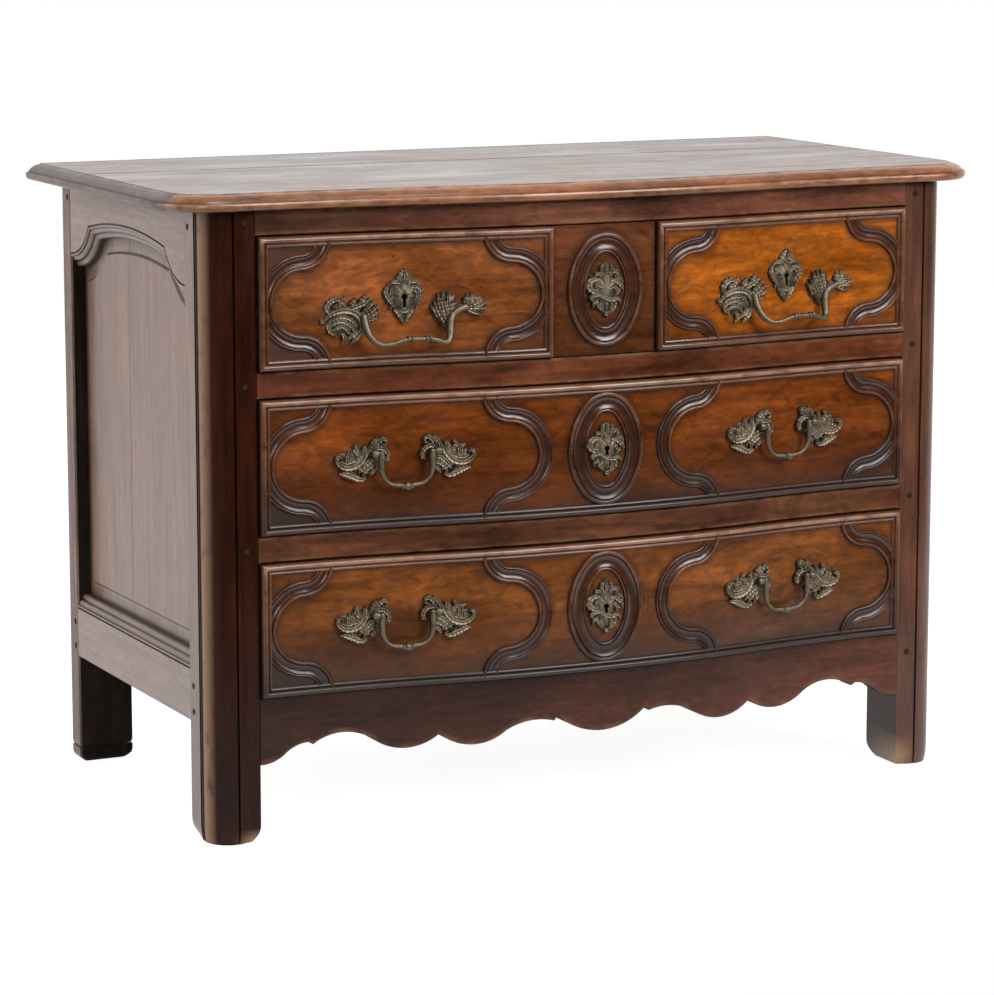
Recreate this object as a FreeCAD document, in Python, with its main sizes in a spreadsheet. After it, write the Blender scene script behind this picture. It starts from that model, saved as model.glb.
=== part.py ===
import FreeCAD, Part
import math
import os
import re
import Sketcher

# A walnut commode with a crossbow front: five drawers in a framed and pegged carcass.
# Millimetres, +X to the right seen from the front, front towards -Y, floor at Z = 0.
# Offsets in depth are counted back from the front faces of the posts.

doc = FreeCAD.newDocument("commode")

# Driving sizes

SIZES = (
    ("carcass_width", 1150, "outside width over the posts"),
    ("carcass_depth", 580, "front post face to the back of the rear posts"),
    ("bow", 36, "how far the crossbow front swells at its middle"),
    ("top_thickness", 23, "top boards"),
    ("top_side_overhang", 54, "top past the posts at each end"),
    ("top_front_overhang", 21, "top past the post faces"),
    ("top_corner_radius", 80, "front corners of the top"),
    ("top_front_board", 395, "depth of the front board, at the ends"),
    ("top_ovolo_inset", 23, "flat of the top to its nose"),
    ("top_nose_height", 11, "underside to the step under the ovolo"),
    ("top_quirk", 3, "step between ovolo and nose"),
    ("top_nose_radius", 6, "rounding under the nose"),
    ("post_width", 70, "front post along the front"),
    ("post_depth", 82, "front post along the side"),
    ("post_round", 36, "rounded outer corner of the front posts"),
    ("post_groove_width", 3.5, "grooves beside the rounded corner"),
    ("post_groove_depth", 3, "grooves beside the rounded corner"),
    ("post_bead", 5, "bead between the grooves on the side"),
    ("bead_round", 0.55, "bead's radius, as a share of its width"),
    ("rear_post_width", 82, "rear post across the back"),
    ("rear_post_depth", 36, "rear post along the side"),
    ("foot_block", 22, "spliced block under the rear left foot"),
    ("apron_top", 200, "floor to the bottom drawer's opening"),
    ("bottom_opening", 188, "height of the bottom drawer's opening"),
    ("lower_rail", 36, "height of the rail over the bottom drawer"),
    ("middle_opening", 188, "height of the middle drawer's opening"),
    ("upper_rail", 36, "height of the rail over the middle drawer"),
    ("top_opening", 184, "height of the top row's openings"),
    ("top_rail", 35, "height of the rail under the top"),
    ("rail_depth", 46, "front rails from front to back, at the posts"),
    ("apron_thickness", 26, "apron from front to back, at the posts"),
    ("apron_foot", 108, "apron's lowest points, beside the posts"),
    ("apron_lobe", 114, "floor to the rounded lobes of the apron"),
    ("apron_arch", 140, "floor to the arches of the apron"),
    ("apron_cusp", 130, "floor to the points between two lobes"),
    ("apron_nick", 4, "step up beside the outer points"),
    ("tenon_length", 34, "tenons of the front and back rails"),
    ("tenon_thickness", 12, "all tenons"),
    ("tenon_shoulder", 4, "shoulder above and below a tenon"),
    ("side_tenon", 24, "tenon length of the side rails"),
    ("peg_radius", 4.5, "pegs through the tenons"),
    ("peg_length", 34, "pegs through the tenons"),
    ("side_rail_thickness", 34, "side frame"),
    ("side_rail_bottom", 161, "floor to the lower side rail"),
    ("side_rail_flat", 78, "plain face of the lower side rail"),
    ("side_moulding", 16, "width of the moulding round the side panel"),
    ("side_step", 4, "moulding on the arch behind the frame's face"),
    ("side_fillet", 11, "moulding's flat on the lower rail behind the frame's face"),
    ("arch_apex", 816, "floor to the top of the side arch"),
    ("arch_cusp", 802, "floor to the points of the side arch"),
    ("arch_spring", 757, "floor to the arch at the posts"),
    ("arch_half", 152, "half width between the points of the arch"),
    ("panel_setback", 18, "frame face to the panel's raised field"),
    ("panel_thickness", 14, "panel at its field"),
    ("panel_edge", 8, "panel at its thin edge"),
    ("panel_bevel", 22, "width of the sunk margin round the field"),
    ("panel_tongue", 8, "panel inside the frame's grooves"),
    ("panel_front_board", 270, "width of the panel's front board, in sight"),
    ("back_rail_thickness", 22, "rails across the back"),
    ("back_rail_height", 70, "rails across the back"),
    ("back_board_thickness", 12, "boards across the back"),
    ("back_board_count", 6, "boards across the back"),
    ("bottom_board_thickness", 12, "boards under the lowest drawer"),
    ("bottom_board_count", 4, "boards under the lowest drawer"),
    ("runner_width", 46, "drawer runners"),
    ("runner_height", 30, "drawer runners"),
    ("guide_height", 24, "drawer guides standing on the runners"),
    ("divider_thickness", 16, "partitions beside the small drawer"),
    ("centre_drawer_width", 158, "front of the small drawer"),
    ("front_gap", 1.5, "gap round the drawer fronts"),
    ("runner_gap", 0.3, "drawer sides over their runners"),
    ("field_proud", 4.5, "drawer field in front of the rails"),
    ("moulding_base", 2.5, "sunk part of a drawer moulding over the field"),
    ("moulding_rib", 5.5, "ribs of a drawer moulding over the field"),
    ("frame_width", 15, "moulded frame of a drawer front"),
    ("frame_rib", 9, "outer rib of that frame"),
    ("band_width", 22, "serpentine bands and ovals"),
    ("band_outer_rib", 4, "rib on a band's outer side"),
    ("band_inner_rib", 8, "rib on a band's inner side"),
    ("band_reach", 70, "how far a serpentine band swings"),
    ("band_lap", 3, "bulge of a band into the frame beside it"),
    ("oval_clear", 17, "bulge of a band to the oval beside it"),
    ("shoulder_share", 0.37, "shoulder's share of the serpentine's two radii"),
    ("oval_half_width", 64, "ovals on the drawer fronts"),
    ("oval_half_height", 80, "ovals on the drawer fronts"),
    ("oval_end_radius", 51, "ovals' top and bottom arcs"),
    ("front_thickness", 23, "drawer front at its ends, behind the field"),
    ("drawer_stop", 14, "gap behind the drawers"),
    ("drawer_side", 12, "drawer sides and backs"),
    ("drawer_side_drop", 8, "drawer sides below their opening"),
    ("drawer_back_drop", 18, "drawer backs below their opening"),
    ("drawer_bottom", 9, "drawer bottom boards"),
    ("drawer_bottom_rise", 8, "under the drawer bottom"),
    ("drawer_groove", 6, "drawer bottom inside the sides"),
    ("handle_place", 297, "middle of the front to the middle of a handle"),
    ("handle_rise", 13, "drawer's mid height up to the handle's pivots"),
    ("pivot_half", 41, "handle's middle to a mount's boss"),
    ("mount_place", 64, "handle's middle to the middle of a mount"),
    ("mount_half", 37, "half width of a mount"),
    ("mount_half_height", 31, "half height of a mount"),
    ("mount_drop", 8, "middle of a mount below its pivot"),
    ("crest_share", 0.68, "raised leaf's share of its mount"),
    ("mount_thickness", 3.5, "cast mounts at their rim"),
    ("mount_relief", 3, "raised leaf on a mount"),
    ("seat_depth", 4, "castings reach this far back, and are cut to the wood's curve"),
    ("pivot_stand", 13, "wood to the pivot axis"),
    ("boss_radius", 5.5, "bosses that hold the bail"),
    ("boss_length", 9, "bosses that hold the bail"),
    ("pin_radius", 2.7, "ends of the bail"),
    ("pin_clearance", 0.3, "bail ends in their holes"),
    ("pin_length", 7, "bail ends in their holes"),
    ("bail_gap", 1, "bail's shoulders to the bosses"),
    ("bail_radius", 3.6, "bail's bar"),
    ("bail_drop", 46, "pivots to the bail's bar"),
    ("bail_bend", 18, "bends of the bail"),
    ("bail_knob", 6, "knob on the bail"),
    ("pull_half", 62, "fixed pull's middle to its stems"),
    ("pull_drop", 34, "fixed pull's stems to its bar"),
    ("pull_stand", 26, "wood to the fixed pull's bar"),
    ("pull_fall", 18, "drawer's mid height down to the fixed pull's stems"),
    ("pull_stem", 5, "fixed pull's stems and the balls on them"),
    ("plate_half", 26, "half width of an escutcheon"),
    ("plate_half_height", 38.5, "half height of an escutcheon"),
    ("plate_rise", 3, "drawer's mid height up to a top drawer's escutcheon"),
    ("dome_share", 0.7, "raised shield's share of its escutcheon"),
    ("plate_thickness", 3.5, "escutcheons at their rim"),
    ("plate_relief", 2.5, "raised shield of an escutcheon"),
    ("keyhole_radius", 3.2, "keyholes"),
    ("keyhole_slot", 13, "length of a keyhole's slot"),
    ("lock_width", 84, "lock cases"),
    ("lock_height", 62, "lock cases"),
    ("lock_thickness", 13, "lock cases"),
    ("bolt_width", 26, "lock bolts"),
    ("bolt_rise", 9, "drawn-back bolt over its case"),
    ("bolt_thickness", 6, "lock bolts"),
)

sheet = doc.addObject("Spreadsheet::Sheet", "dims")
for row, (alias, size, note) in enumerate(SIZES, 1):
    sheet.set(f"A{row}", note)
    sheet.set(f"B{row}", str(size))
    sheet.setAlias(f"B{row}", alias)
doc.recompute()

ALIAS = re.compile(r"\b(" + "|".join(alias for alias, size, note in SIZES) + r")\b")


def bind(text):
    """Expression text with each size name tied to its cell."""
    return ALIAS.sub(r"dims.\1", str(text))


def value(text):
    """Number that an expression stands for now."""
    return float(sheet.evalExpression(bind(text)))


# Places worked out from the driving sizes

FACE = "(-(carcass_depth - top_front_overhang - bow) / 2)"
HALF = "(carcass_width / 2)"
OPEN = f"({HALF} - post_width)"
BOW_RADIUS = f"((({OPEN} / 2)^2 + (bow / 2)^2) / bow)"
LEVELS = {"bottom": "apron_top"}
LEVELS["middle"] = f"({LEVELS['bottom']} + bottom_opening + lower_rail)"
LEVELS["top"] = f"({LEVELS['middle']} + middle_opening + upper_rail)"
RAIL_TOP = f"({LEVELS['top']} + top_opening)"
CARCASS_TOP = f"({RAIL_TOP} + top_rail)"
FRONT_BACK = "(front_thickness - field_proud)"
REAR_POST = "(carcass_depth - rear_post_depth)"
REAR_OPEN = f"({HALF} - rear_post_width)"
DRAWER_END = f"({REAR_POST} - drawer_stop)"
SIDES = {"left": -1, "right": 1}


def bow_outer(x):
    """Swell of the front at x, between a post and the turn of the curve."""
    return f"({BOW_RADIUS} - sqrt({BOW_RADIUS}^2 - ({OPEN} - ({x}))^2))"


def bow_inner(x):
    """Swell of the front at x, between the turn of the curve and the middle."""
    return f"(bow - {BOW_RADIUS} + sqrt({BOW_RADIUS}^2 - ({x})^2))"


# Drawing tools

PARTS = {}


def place(thing, at, turn=None):
    """Tie an object's position, and its turn about the upright axis, to expressions."""
    if turn is not None:
        thing.Placement = FreeCAD.Placement(FreeCAD.Vector(), FreeCAD.Vector(0, 0, 1), 1.0)
        thing.setExpression("Placement.Rotation.Angle", bind(turn))
    for axis, text in zip("xyz", at):
        thing.setExpression(f"Placement.Base.{axis}", bind(text))
    return thing


def keep(label, thing):
    """Note an object as a sub-part under its own label."""
    thing.Label = label
    PARTS[label] = thing
    return thing


def box(name, low, size):
    """Rectangular block from its low corner and its three sizes."""
    block = doc.addObject("Part::Box", name)
    for side, text in zip(("Length", "Width", "Height"), size):
        block.setExpression(side, bind(text))
    return place(block, low)


def rod(name, radius, length, at, axis):
    """Cylinder that starts at a point and runs along an axis."""
    bar = doc.addObject("Part::Cylinder", name)
    bar.setExpression("Radius", bind(radius))
    bar.setExpression("Height", bind(length))
    bar.Placement.Rotation = FreeCAD.Rotation(FreeCAD.Vector(0, 0, 1), FreeCAD.Vector(*axis))
    return place(bar, at)


def ball(name, radius, at):
    """Sphere about a point, its seam turned to the back, clear of bars that run sideways."""
    knob = doc.addObject("Part::Sphere", name)
    knob.Placement.Rotation = FreeCAD.Rotation(FreeCAD.Vector(0, 0, 1), 90)
    knob.setExpression("Radius", bind(radius))
    return place(knob, at)


def join(name, pieces):
    """Pieces grown into one solid."""
    whole = doc.addObject("Part::MultiFuse", name)
    whole.Shapes = pieces
    whole.Refine = True
    return whole


def group(name, pieces):
    """Separate solids that share one sub-part."""
    whole = doc.addObject("Part::Compound", name)
    whole.Links = pieces
    return whole


def cut(name, base, tool):
    """Base with a tool taken away."""
    rest = doc.addObject("Part::Cut", name)
    rest.Base = base
    rest.Tool = tool
    rest.Refine = True
    return rest


def common(name, base, tool):
    """What two pieces share."""
    shared = doc.addObject("Part::Common", name)
    shared.Base = base
    shared.Tool = tool
    shared.Refine = True
    return shared


def arc_centre(start, end, radius, bend):
    """Centre of the shorter arc from start to end, on the left for a bend of 1."""
    chord = end.sub(start)
    reach = math.sqrt(max(radius**2 - (chord.Length / 2) ** 2, 0))
    normal = FreeCAD.Vector(-chord.y, chord.x, 0).normalize()
    return start.add(chord * 0.5).add(normal * (bend * reach))


def edge_curve(start, end, arc):
    """Line, or arc of a given radius and bend, with its first and last vertex in drawing order."""
    if not arc:
        return Part.LineSegment(start, end), 1, 2
    radius, bend = value(arc[0]), arc[1]
    centre = arc_centre(start, end, radius, bend)
    first, last = (start, end) if bend > 0 else (end, start)
    angles = [math.atan2(p.y - centre.y, p.x - centre.x) for p in (first, last)]
    if angles[1] < angles[0]:
        angles[1] += 2 * math.pi
    circle = Part.Circle(centre, FreeCAD.Vector(0, 0, 1), radius)
    curve = Part.ArcOfCircle(circle, *angles)
    return (curve, 1, 2) if bend > 0 else (curve, 2, 1)


def draw(sketch, loops, closed=True):
    """Chains of lines and arcs through corners (u, v) or (u, v, radius, bend of the next edge)."""
    curves = []
    rules = []
    texts = []

    def rule(text, *terms):
        if text is None:
            rules.append(Sketcher.Constraint(*terms))
        else:
            rules.append(Sketcher.Constraint(*terms, value(text)))
        texts.append(text)

    for corners in loops:
        points = [FreeCAD.Vector(value(c[0]), value(c[1]), 0) for c in corners]
        first = len(curves)
        edges = len(corners) if closed else len(corners) - 1
        ends = []
        for i in range(edges):
            curve, begin, finish = edge_curve(points[i], points[(i + 1) % len(points)], corners[i][2:])
            curves.append(curve)
            ends.append((begin, finish))
        for i, corner in enumerate(corners):
            at, vertex = (first + i, ends[i][0]) if i < edges else (first + i - 1, ends[-1][1])
            rule(corner[0], "DistanceX", -1, 1, at, vertex)
            rule(corner[1], "DistanceY", -1, 1, at, vertex)
        for i in range(edges):
            if corners[i][2:]:
                rule(corners[i][2], "Radius", first + i)
            if closed or i < edges - 1:
                following = (i + 1) % edges
                rule(None, "Coincident", first + i, ends[i][1], first + following, ends[following][0])
    sketch.addGeometry(curves, False)
    sketch.addConstraint(rules)
    for index, text in enumerate(texts):
        if text is not None:
            sketch.setExpression(f"Constraints[{index}]", bind(text))
    return [f"Edge{i + 1}" for i in range(len(curves))]


def new_sketch(body, name, plane):
    """Empty sketch on one of a body's own planes."""
    sketch = body.newObject("Sketcher::SketchObject", name)
    support = next(f for f in body.Origin.OriginFeatures if f.Role == plane)
    sketch.AttachmentSupport = [(support, "")]
    sketch.MapMode = "FlatFace"
    return sketch


def pad(body, sketch, length, backwards=False):
    """Sketch grown to a length, along its plane's normal or against it."""
    grown = body.newObject("PartDesign::Pad", sketch.Name + "_pad")
    grown.Profile = sketch
    grown.Reversed = backwards
    grown.setExpression("Length", bind(length))
    return grown


def prism(name, plane, loops, length, at, backwards=False):
    """Body with one padded sketch of closed loops."""
    body = doc.addObject("PartDesign::Body", name)
    sketch = new_sketch(body, name + "_outline", plane)
    draw(sketch, loops)
    pad(body, sketch, length, backwards)
    return place(body, at)


def rectangle(u_low, v_low, u_high, v_high):
    """Corners of an upright rectangle."""
    return [(u_low, v_low), (u_high, v_low), (u_high, v_high), (u_low, v_high)]


def shifted(loop, u, v):
    """Loop moved in its plane."""
    return [(f"({c[0]}) + ({u})", f"({c[1]}) + ({v})", *c[2:]) for c in loop]


def mirrored(loop, sign):
    """Loop turned over sideways for a sign of -1."""
    if sign > 0:
        return loop
    return [(f"-({c[0]})", c[1], *c[2:3], *(-bend for bend in c[3:])) for c in loop]


# The crossbow front

def bow_edge(front):
    """Front edge in plan from left to right: hollow, swell, hollow."""
    turn = f"{OPEN} / 2"
    return [
        (f"-{OPEN}", front, BOW_RADIUS, -1),
        (f"-{turn}", f"{front} - bow / 2", BOW_RADIUS, 1),
        (turn, f"{front} - bow / 2", BOW_RADIUS, -1),
        (OPEN, front),
    ]


def bow_slab(name, proud, back):
    """Full-height slab whose face follows the crossbow, proud of the rails."""
    loop = bow_edge(f"(-({proud}))") + [(OPEN, back), (f"-{OPEN}", back)]
    return prism(name, "XY_Plane", [loop], CARCASS_TOP, ("0", FACE, "0"))


def facing(name, loops, depth=f"{FRONT_BACK} / 2"):
    """Prism through the front, from outlines drawn on the front, to a depth behind it."""
    length = f"{depth} + bow + top_front_overhang"
    return prism(name, "XZ_Plane", loops, length, ("0", f"{FACE} + {depth}", "0"))


rail_slab = bow_slab("rail_slab", "0", "rail_depth")
apron_slab = bow_slab("apron_slab", "0", "apron_thickness")

# Front posts, with a rounded corner between grooves, and rear posts


def post_outline(sign):
    """Plan of a front post, from its outer back corner round the front."""
    out = HALF
    bead_front = "(post_round + post_groove_width)"
    bead_back = f"({bead_front} + post_bead)"
    groove_back = f"({bead_back} + post_groove_width)"
    loop = [
        (out, "post_depth"),
        (OPEN, "post_depth"),
        (OPEN, "0"),
        (f"{out} - post_round - post_groove_width", "0"),
        (f"{out} - post_round - post_groove_width", "post_groove_depth"),
        (f"{out} - post_round", "post_groove_depth"),
        (f"{out} - post_round", "0", "post_round", 1),
        (out, "post_round"),
        (f"{out} - post_groove_depth", "post_round"),
        (f"{out} - post_groove_depth", bead_front),
        (f"{out} - post_groove_depth / 2", bead_front, "post_bead * bead_round", 1),
        (f"{out} - post_groove_depth / 2", bead_back),
        (f"{out} - post_groove_depth", bead_back),
        (f"{out} - post_groove_depth", groove_back),
        (out, groove_back),
    ]
    return mirrored(loop, sign)


def across(sign, low, size):
    """Low end along X of a size that starts at a distance from the middle."""
    return f"({low})" if sign > 0 else f"(-({low}) - ({size}))"


posts = {}
for side, sign in SIDES.items():
    posts["front", side] = prism(
        f"front_post_{side}", "XY_Plane", [post_outline(sign)], CARCASS_TOP, ("0", FACE, "0")
    )
    base = "foot_block" if side == "left" else "0"
    posts["rear", side] = box(
        f"rear_post_{side}",
        (across(sign, REAR_OPEN, "rear_post_width"), f"{FACE} + {REAR_POST}", base),
        ("rear_post_width", "rear_post_depth", f"{CARCASS_TOP} - {base}"),
    )

foot = box(
    "foot_block_left",
    (across(-1, REAR_OPEN, "rear_post_width"), f"{FACE} + {REAR_POST}", "0"),
    ("rear_post_width", "rear_post_depth", "foot_block"),
)

# Rails between the posts, each with a tenon at both ends

seats = {key: [] for key in posts}
pegs = []
peg_holes = {key: [] for key in posts}


def add_peg(key, at, axis):
    """Peg driven through a post and the tenon inside it."""
    name = f"peg_{len(pegs)}"
    pegs.append(rod(name, "peg_radius", "peg_length", at, axis))
    peg_holes[key].append(pegs[-1])
    return pegs[-1]


def railed(label, body, row, depth, low, height, end, length, peg_face):
    """Rail across the carcass with its tenons, pegged into a pair of posts."""
    tenons = []
    drilled = []
    for side, sign in SIDES.items():
        tenon = box(
            f"{label}_tenon_{side}",
            (across(sign, end, length), f"{FACE} + {depth}", f"{low} + tenon_shoulder"),
            (length, "tenon_thickness", f"{height} - 2 * tenon_shoulder"),
        )
        seats[row, side].append(tenon)
        tenons.append(tenon)
        peg_x = f"{sign} * ({end} + {length} / 2)"
        front, axis = peg_face
        at = (peg_x, f"{FACE} + {front}", f"{low} + {height} / 2")
        drilled.append(add_peg((row, side), at, axis))
    whole = join(f"{label}_tenoned", [body] + tenons)
    return keep(label, cut(f"{label}_drilled", whole, group(f"{label}_pegs", drilled)))


FRONT_TENON = "(rail_depth / 2 - tenon_thickness)"
FRONT_PEG = ("0", (0, 1, 0))
RAILS = (
    ("front_top_rail", RAIL_TOP, "top_rail"),
    ("front_upper_rail", f"({LEVELS['top']} - upper_rail)", "upper_rail"),
    ("front_lower_rail", f"({LEVELS['middle']} - lower_rail)", "lower_rail"),
)
for label, low, height in RAILS:
    blank = box(
        f"{label}_blank",
        (f"-{OPEN}", f"{FACE} - bow", low),
        (f"2 * {OPEN}", "rail_depth + bow", height),
    )
    rail = common(f"{label}_bowed", rail_slab, blank)
    railed(label, rail, "front", FRONT_TENON, low, height, OPEN, "tenon_length", FRONT_PEG)

# The apron's scalloped edge, drawn from the middle lobe outwards: place and radius of each arc as
# shares of half the opening, with its height and bend. A short step stands beside the outer point.

SWAY = "(apron_arch + apron_lobe) / 2"
SCALLOPS = (
    (0, "apron_lobe", 0.208, 1),
    (0.139, "apron_arch", 0.139, -1),
    (0.292, SWAY, 0.153, 1),
    (0.486, "apron_cusp", 0.153, 1),
    (0.667, SWAY, 0.153, -1),
    (0.861, "apron_cusp + apron_nick", 0.111, -1),
    (0.931, "(apron_cusp + apron_foot) / 2", 0.111, 1),
)
NICK = 5
NICK_PLACE = 0.847


def scallops(sign):
    """Right or left half of the apron's lower edge, from the middle lobe to the post."""
    points = [(f"{OPEN} * {u}", v, f"{OPEN} * {radius}", bend) for u, v, radius, bend in SCALLOPS]
    points.insert(NICK, (f"{OPEN} * {NICK_PLACE}", "apron_cusp"))
    return mirrored(points + [(OPEN, "apron_foot")], sign)


def reverse(chain):
    """Open chain drawn the other way round."""
    turned = []
    for i in range(len(chain) - 1, -1, -1):
        edge = chain[i - 1][2:] if i > 0 else ()
        turned.append((*chain[i][:2], *edge[:1], *(-bend for bend in edge[1:])))
    return turned


right_half = scallops(1)
left_half = reverse(scallops(-1))
apron_loop = left_half[:-1] + right_half + [(OPEN, "apron_top"), (f"-{OPEN}", "apron_top")]
apron = common("apron_bowed", apron_slab, facing("apron_outline", [apron_loop], "apron_thickness"))
APRON_LOW = "(apron_arch + tenon_shoulder)"
railed(
    "front_apron",
    apron,
    "front",
    "(apron_thickness - tenon_thickness)",
    APRON_LOW,
    f"(apron_top - {APRON_LOW})",
    OPEN,
    "tenon_length",
    FRONT_PEG,
)

# Back rails, tenoned into the rear posts

BACK_TENON = f"({REAR_POST} + back_rail_thickness / 2 - tenon_thickness / 2)"
BACK_PEG = (REAR_POST, (0, 1, 0))
BACK_RAILS = (
    ("back_top_rail", f"({CARCASS_TOP} - back_rail_height)"),
    ("back_bottom_rail", f"({LEVELS['bottom']} - back_rail_height)"),
)
for label, low in BACK_RAILS:
    blank = box(
        f"{label}_blank",
        (f"-{REAR_OPEN}", f"{FACE} + {REAR_POST}", low),
        (f"2 * {REAR_OPEN}", "back_rail_thickness", "back_rail_height"),
    )
    railed(label, blank, "rear", BACK_TENON, low, "back_rail_height", REAR_OPEN, "tenon_length", BACK_PEG)

# Side frames: arched top rail, moulded bottom rail and a raised panel in two boards

SIDE_MID = f"((post_depth + {REAR_POST}) / 2)"
SIDE_HALF = f"(({REAR_POST} - post_depth) / 2)"
SIDE_TENON = f"({HALF} - side_rail_thickness / 2 - tenon_thickness / 2)"
PANEL_FACE = f"({HALF} - panel_setback)"
RAIL_MOULD = "(side_rail_bottom + side_rail_flat + side_moulding)"


def arch(lift):
    """Arched edge from the rear post to the front post, lifted or lowered."""
    rise = "(arch_apex - arch_cusp)"
    crown = f"((arch_half^2 + {rise}^2) / (2 * {rise}))"
    fall = "(arch_cusp - arch_spring)"
    run = f"({SIDE_HALF} - arch_half)"
    sweep = f"(({run}^2 + {fall}^2) / (2 * {fall}))"
    return [
        (f"{SIDE_MID} + {SIDE_HALF}", f"arch_spring + ({lift})", sweep, -1),
        (f"{SIDE_MID} + arch_half", f"arch_cusp + ({lift})", crown, 1),
        (f"{SIDE_MID} - arch_half", f"arch_cusp + ({lift})", sweep, -1),
        (f"{SIDE_MID} - {SIDE_HALF}", f"arch_spring + ({lift})"),
    ]


def arched(name, lift, top, thickness, inner):
    """Board above an arched edge, standing in the side of the carcass."""
    loop = arch(lift) + [
        (f"{SIDE_MID} - {SIDE_HALF}", top),
        (f"{SIDE_MID} + {SIDE_HALF}", top),
    ]
    return prism(name, "YZ_Plane", [loop], thickness, (inner, FACE, "0"))


def panel_layer(name, margin, thickness, inner):
    """Panel or its field under the arch, kept a margin inside the frame's edge."""
    low = f"{RAIL_MOULD} + ({margin})"
    chain = arch(f"-side_moulding - ({margin})")
    ends = [f"{SIDE_MID} + {SIDE_HALF} - ({margin})", f"{SIDE_MID} - {SIDE_HALF} + ({margin})"]
    chain[0] = (ends[0], *chain[0][1:])
    chain[-1] = (ends[1], *chain[-1][1:])
    loop = chain + [(ends[1], low), (ends[0], low)]
    return prism(name, "YZ_Plane", [loop], thickness, (inner, FACE, "0"))


side_tools = {}
for side, sign in SIDES.items():
    panel_back = f"({PANEL_FACE} - panel_thickness)"
    edge_inner = f"({panel_back} + (panel_thickness - panel_edge) / 2)"
    edge = panel_layer(
        f"panel_edge_{side}", "-panel_tongue", "panel_edge", across(sign, edge_inner, "panel_edge")
    )
    field = panel_layer(
        f"panel_field_{side}",
        "panel_bevel",
        "panel_thickness",
        across(sign, panel_back, "panel_thickness"),
    )
    panel = join(f"panel_{side}", [edge, field])
    side_tools[side] = edge
    planks = []
    split = f"{FACE} + post_depth + panel_front_board"
    spans = {
        "front": (FACE, "post_depth + panel_front_board"),
        "rear": (split, f"{REAR_POST} - post_depth - panel_front_board + panel_tongue"),
    }
    for board, (start, length) in spans.items():
        cutter = box(
            f"panel_cutter_{board}_{side}",
            (across(sign, OPEN, "post_width"), start, "side_rail_bottom"),
            ("post_width", length, f"{CARCASS_TOP} - side_rail_bottom"),
        )
        planks.append(common(f"panel_{board}_{side}", panel, cutter))
    keep(f"side_panel_{side}", group(f"panel_boards_{side}", planks))

    inner = across(sign, f"{HALF} - side_rail_thickness", "side_rail_thickness")
    thin = "(side_rail_thickness - side_step)"
    flat = arched(f"arch_flat_{side}", "0", CARCASS_TOP, "side_rail_thickness", inner)
    mould = arched(
        f"arch_mould_{side}",
        "-side_moulding",
        CARCASS_TOP,
        thin,
        across(sign, f"{HALF} - side_rail_thickness", thin),
    )
    low_loop = [
        (f"{HALF} - side_rail_thickness", "side_rail_bottom"),
        (HALF, "side_rail_bottom"),
        (HALF, "side_rail_bottom + side_rail_flat", "side_moulding / 2", 1),
        (f"{HALF} - side_moulding / 2", "side_rail_bottom + side_rail_flat + side_moulding / 2"),
        (f"{HALF} - side_fillet", "side_rail_bottom + side_rail_flat + side_moulding / 2"),
        (f"{HALF} - side_moulding", RAIL_MOULD),
        (f"{HALF} - side_rail_thickness", RAIL_MOULD),
    ]
    lower = prism(
        f"side_bottom_{side}",
        "XZ_Plane",
        [mirrored(low_loop, sign)],
        f"2 * {SIDE_HALF}",
        ("0", f"{FACE} + post_depth", "0"),
        backwards=True,
    )
    frames = {
        "side_top_rail": (
            join(f"arch_{side}", [flat, mould]),
            "arch_apex",
            f"{CARCASS_TOP} - arch_apex",
        ),
        "side_bottom_rail": (lower, "side_rail_bottom", "side_rail_flat"),
    }
    for label, (body, low, height) in frames.items():
        tenons = []
        drilled = []
        for row, start in (("front", "post_depth - side_tenon"), ("rear", REAR_POST)):
            tenon = box(
                f"{label}_tenon_{row}_{side}",
                (
                    across(sign, SIDE_TENON, "tenon_thickness"),
                    f"{FACE} + {start}",
                    f"{low} + tenon_shoulder",
                ),
                ("tenon_thickness", "side_tenon", f"{height} - 2 * tenon_shoulder"),
            )
            tenons.append(tenon)
            seats[row, side].append(tenon)
            at = (
                f"{sign} * {HALF}",
                f"{FACE} + {start} + side_tenon / 2",
                f"{low} + ({height}) / 2",
            )
            drilled.append(add_peg((row, side), at, (-sign, 0, 0)))
        whole = join(f"{label}_tenoned_{side}", [body] + tenons)
        tool = group(f"{label}_tools_{side}", drilled + [edge])
        keep(f"{label}_{side}", cut(f"{label}_cut_{side}", whole, tool))

# Posts with their mortises, peg holes and panel grooves

for (row, side), post in posts.items():
    tools = seats[row, side] + peg_holes[row, side] + [side_tools[side]]
    finished = cut(f"{row}_post_cut_{side}", post, join(f"{row}_post_tools_{side}", tools))
    if (row, side) == ("rear", "left"):
        finished = group("rear_post_left_spliced", [finished, foot])
    keep(f"post_{row}_{side}", finished)

keep("joint_pegs", group("pegs", pegs))

# Top in two boards, with an ovolo, a quirk and a rounded nose on three sides

TOP_HALF = f"({HALF} + top_side_overhang)"
TOP_FRONT = "(-top_front_overhang)"


def top_edge(end):
    """Front and ends of the top in plan, from the left rear corner to the right one."""
    rounding = f"{TOP_HALF} - top_corner_radius"
    return (
        [
            (f"-{TOP_HALF}", end),
            (f"-{TOP_HALF}", f"{TOP_FRONT} + top_corner_radius", "top_corner_radius", 1),
            (f"-({rounding})", TOP_FRONT),
        ]
        + bow_edge(TOP_FRONT)
        + [
            (rounding, TOP_FRONT, "top_corner_radius", 1),
            (TOP_HALF, f"{TOP_FRONT} + top_corner_radius"),
            (TOP_HALF, end),
        ]
    )


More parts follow.
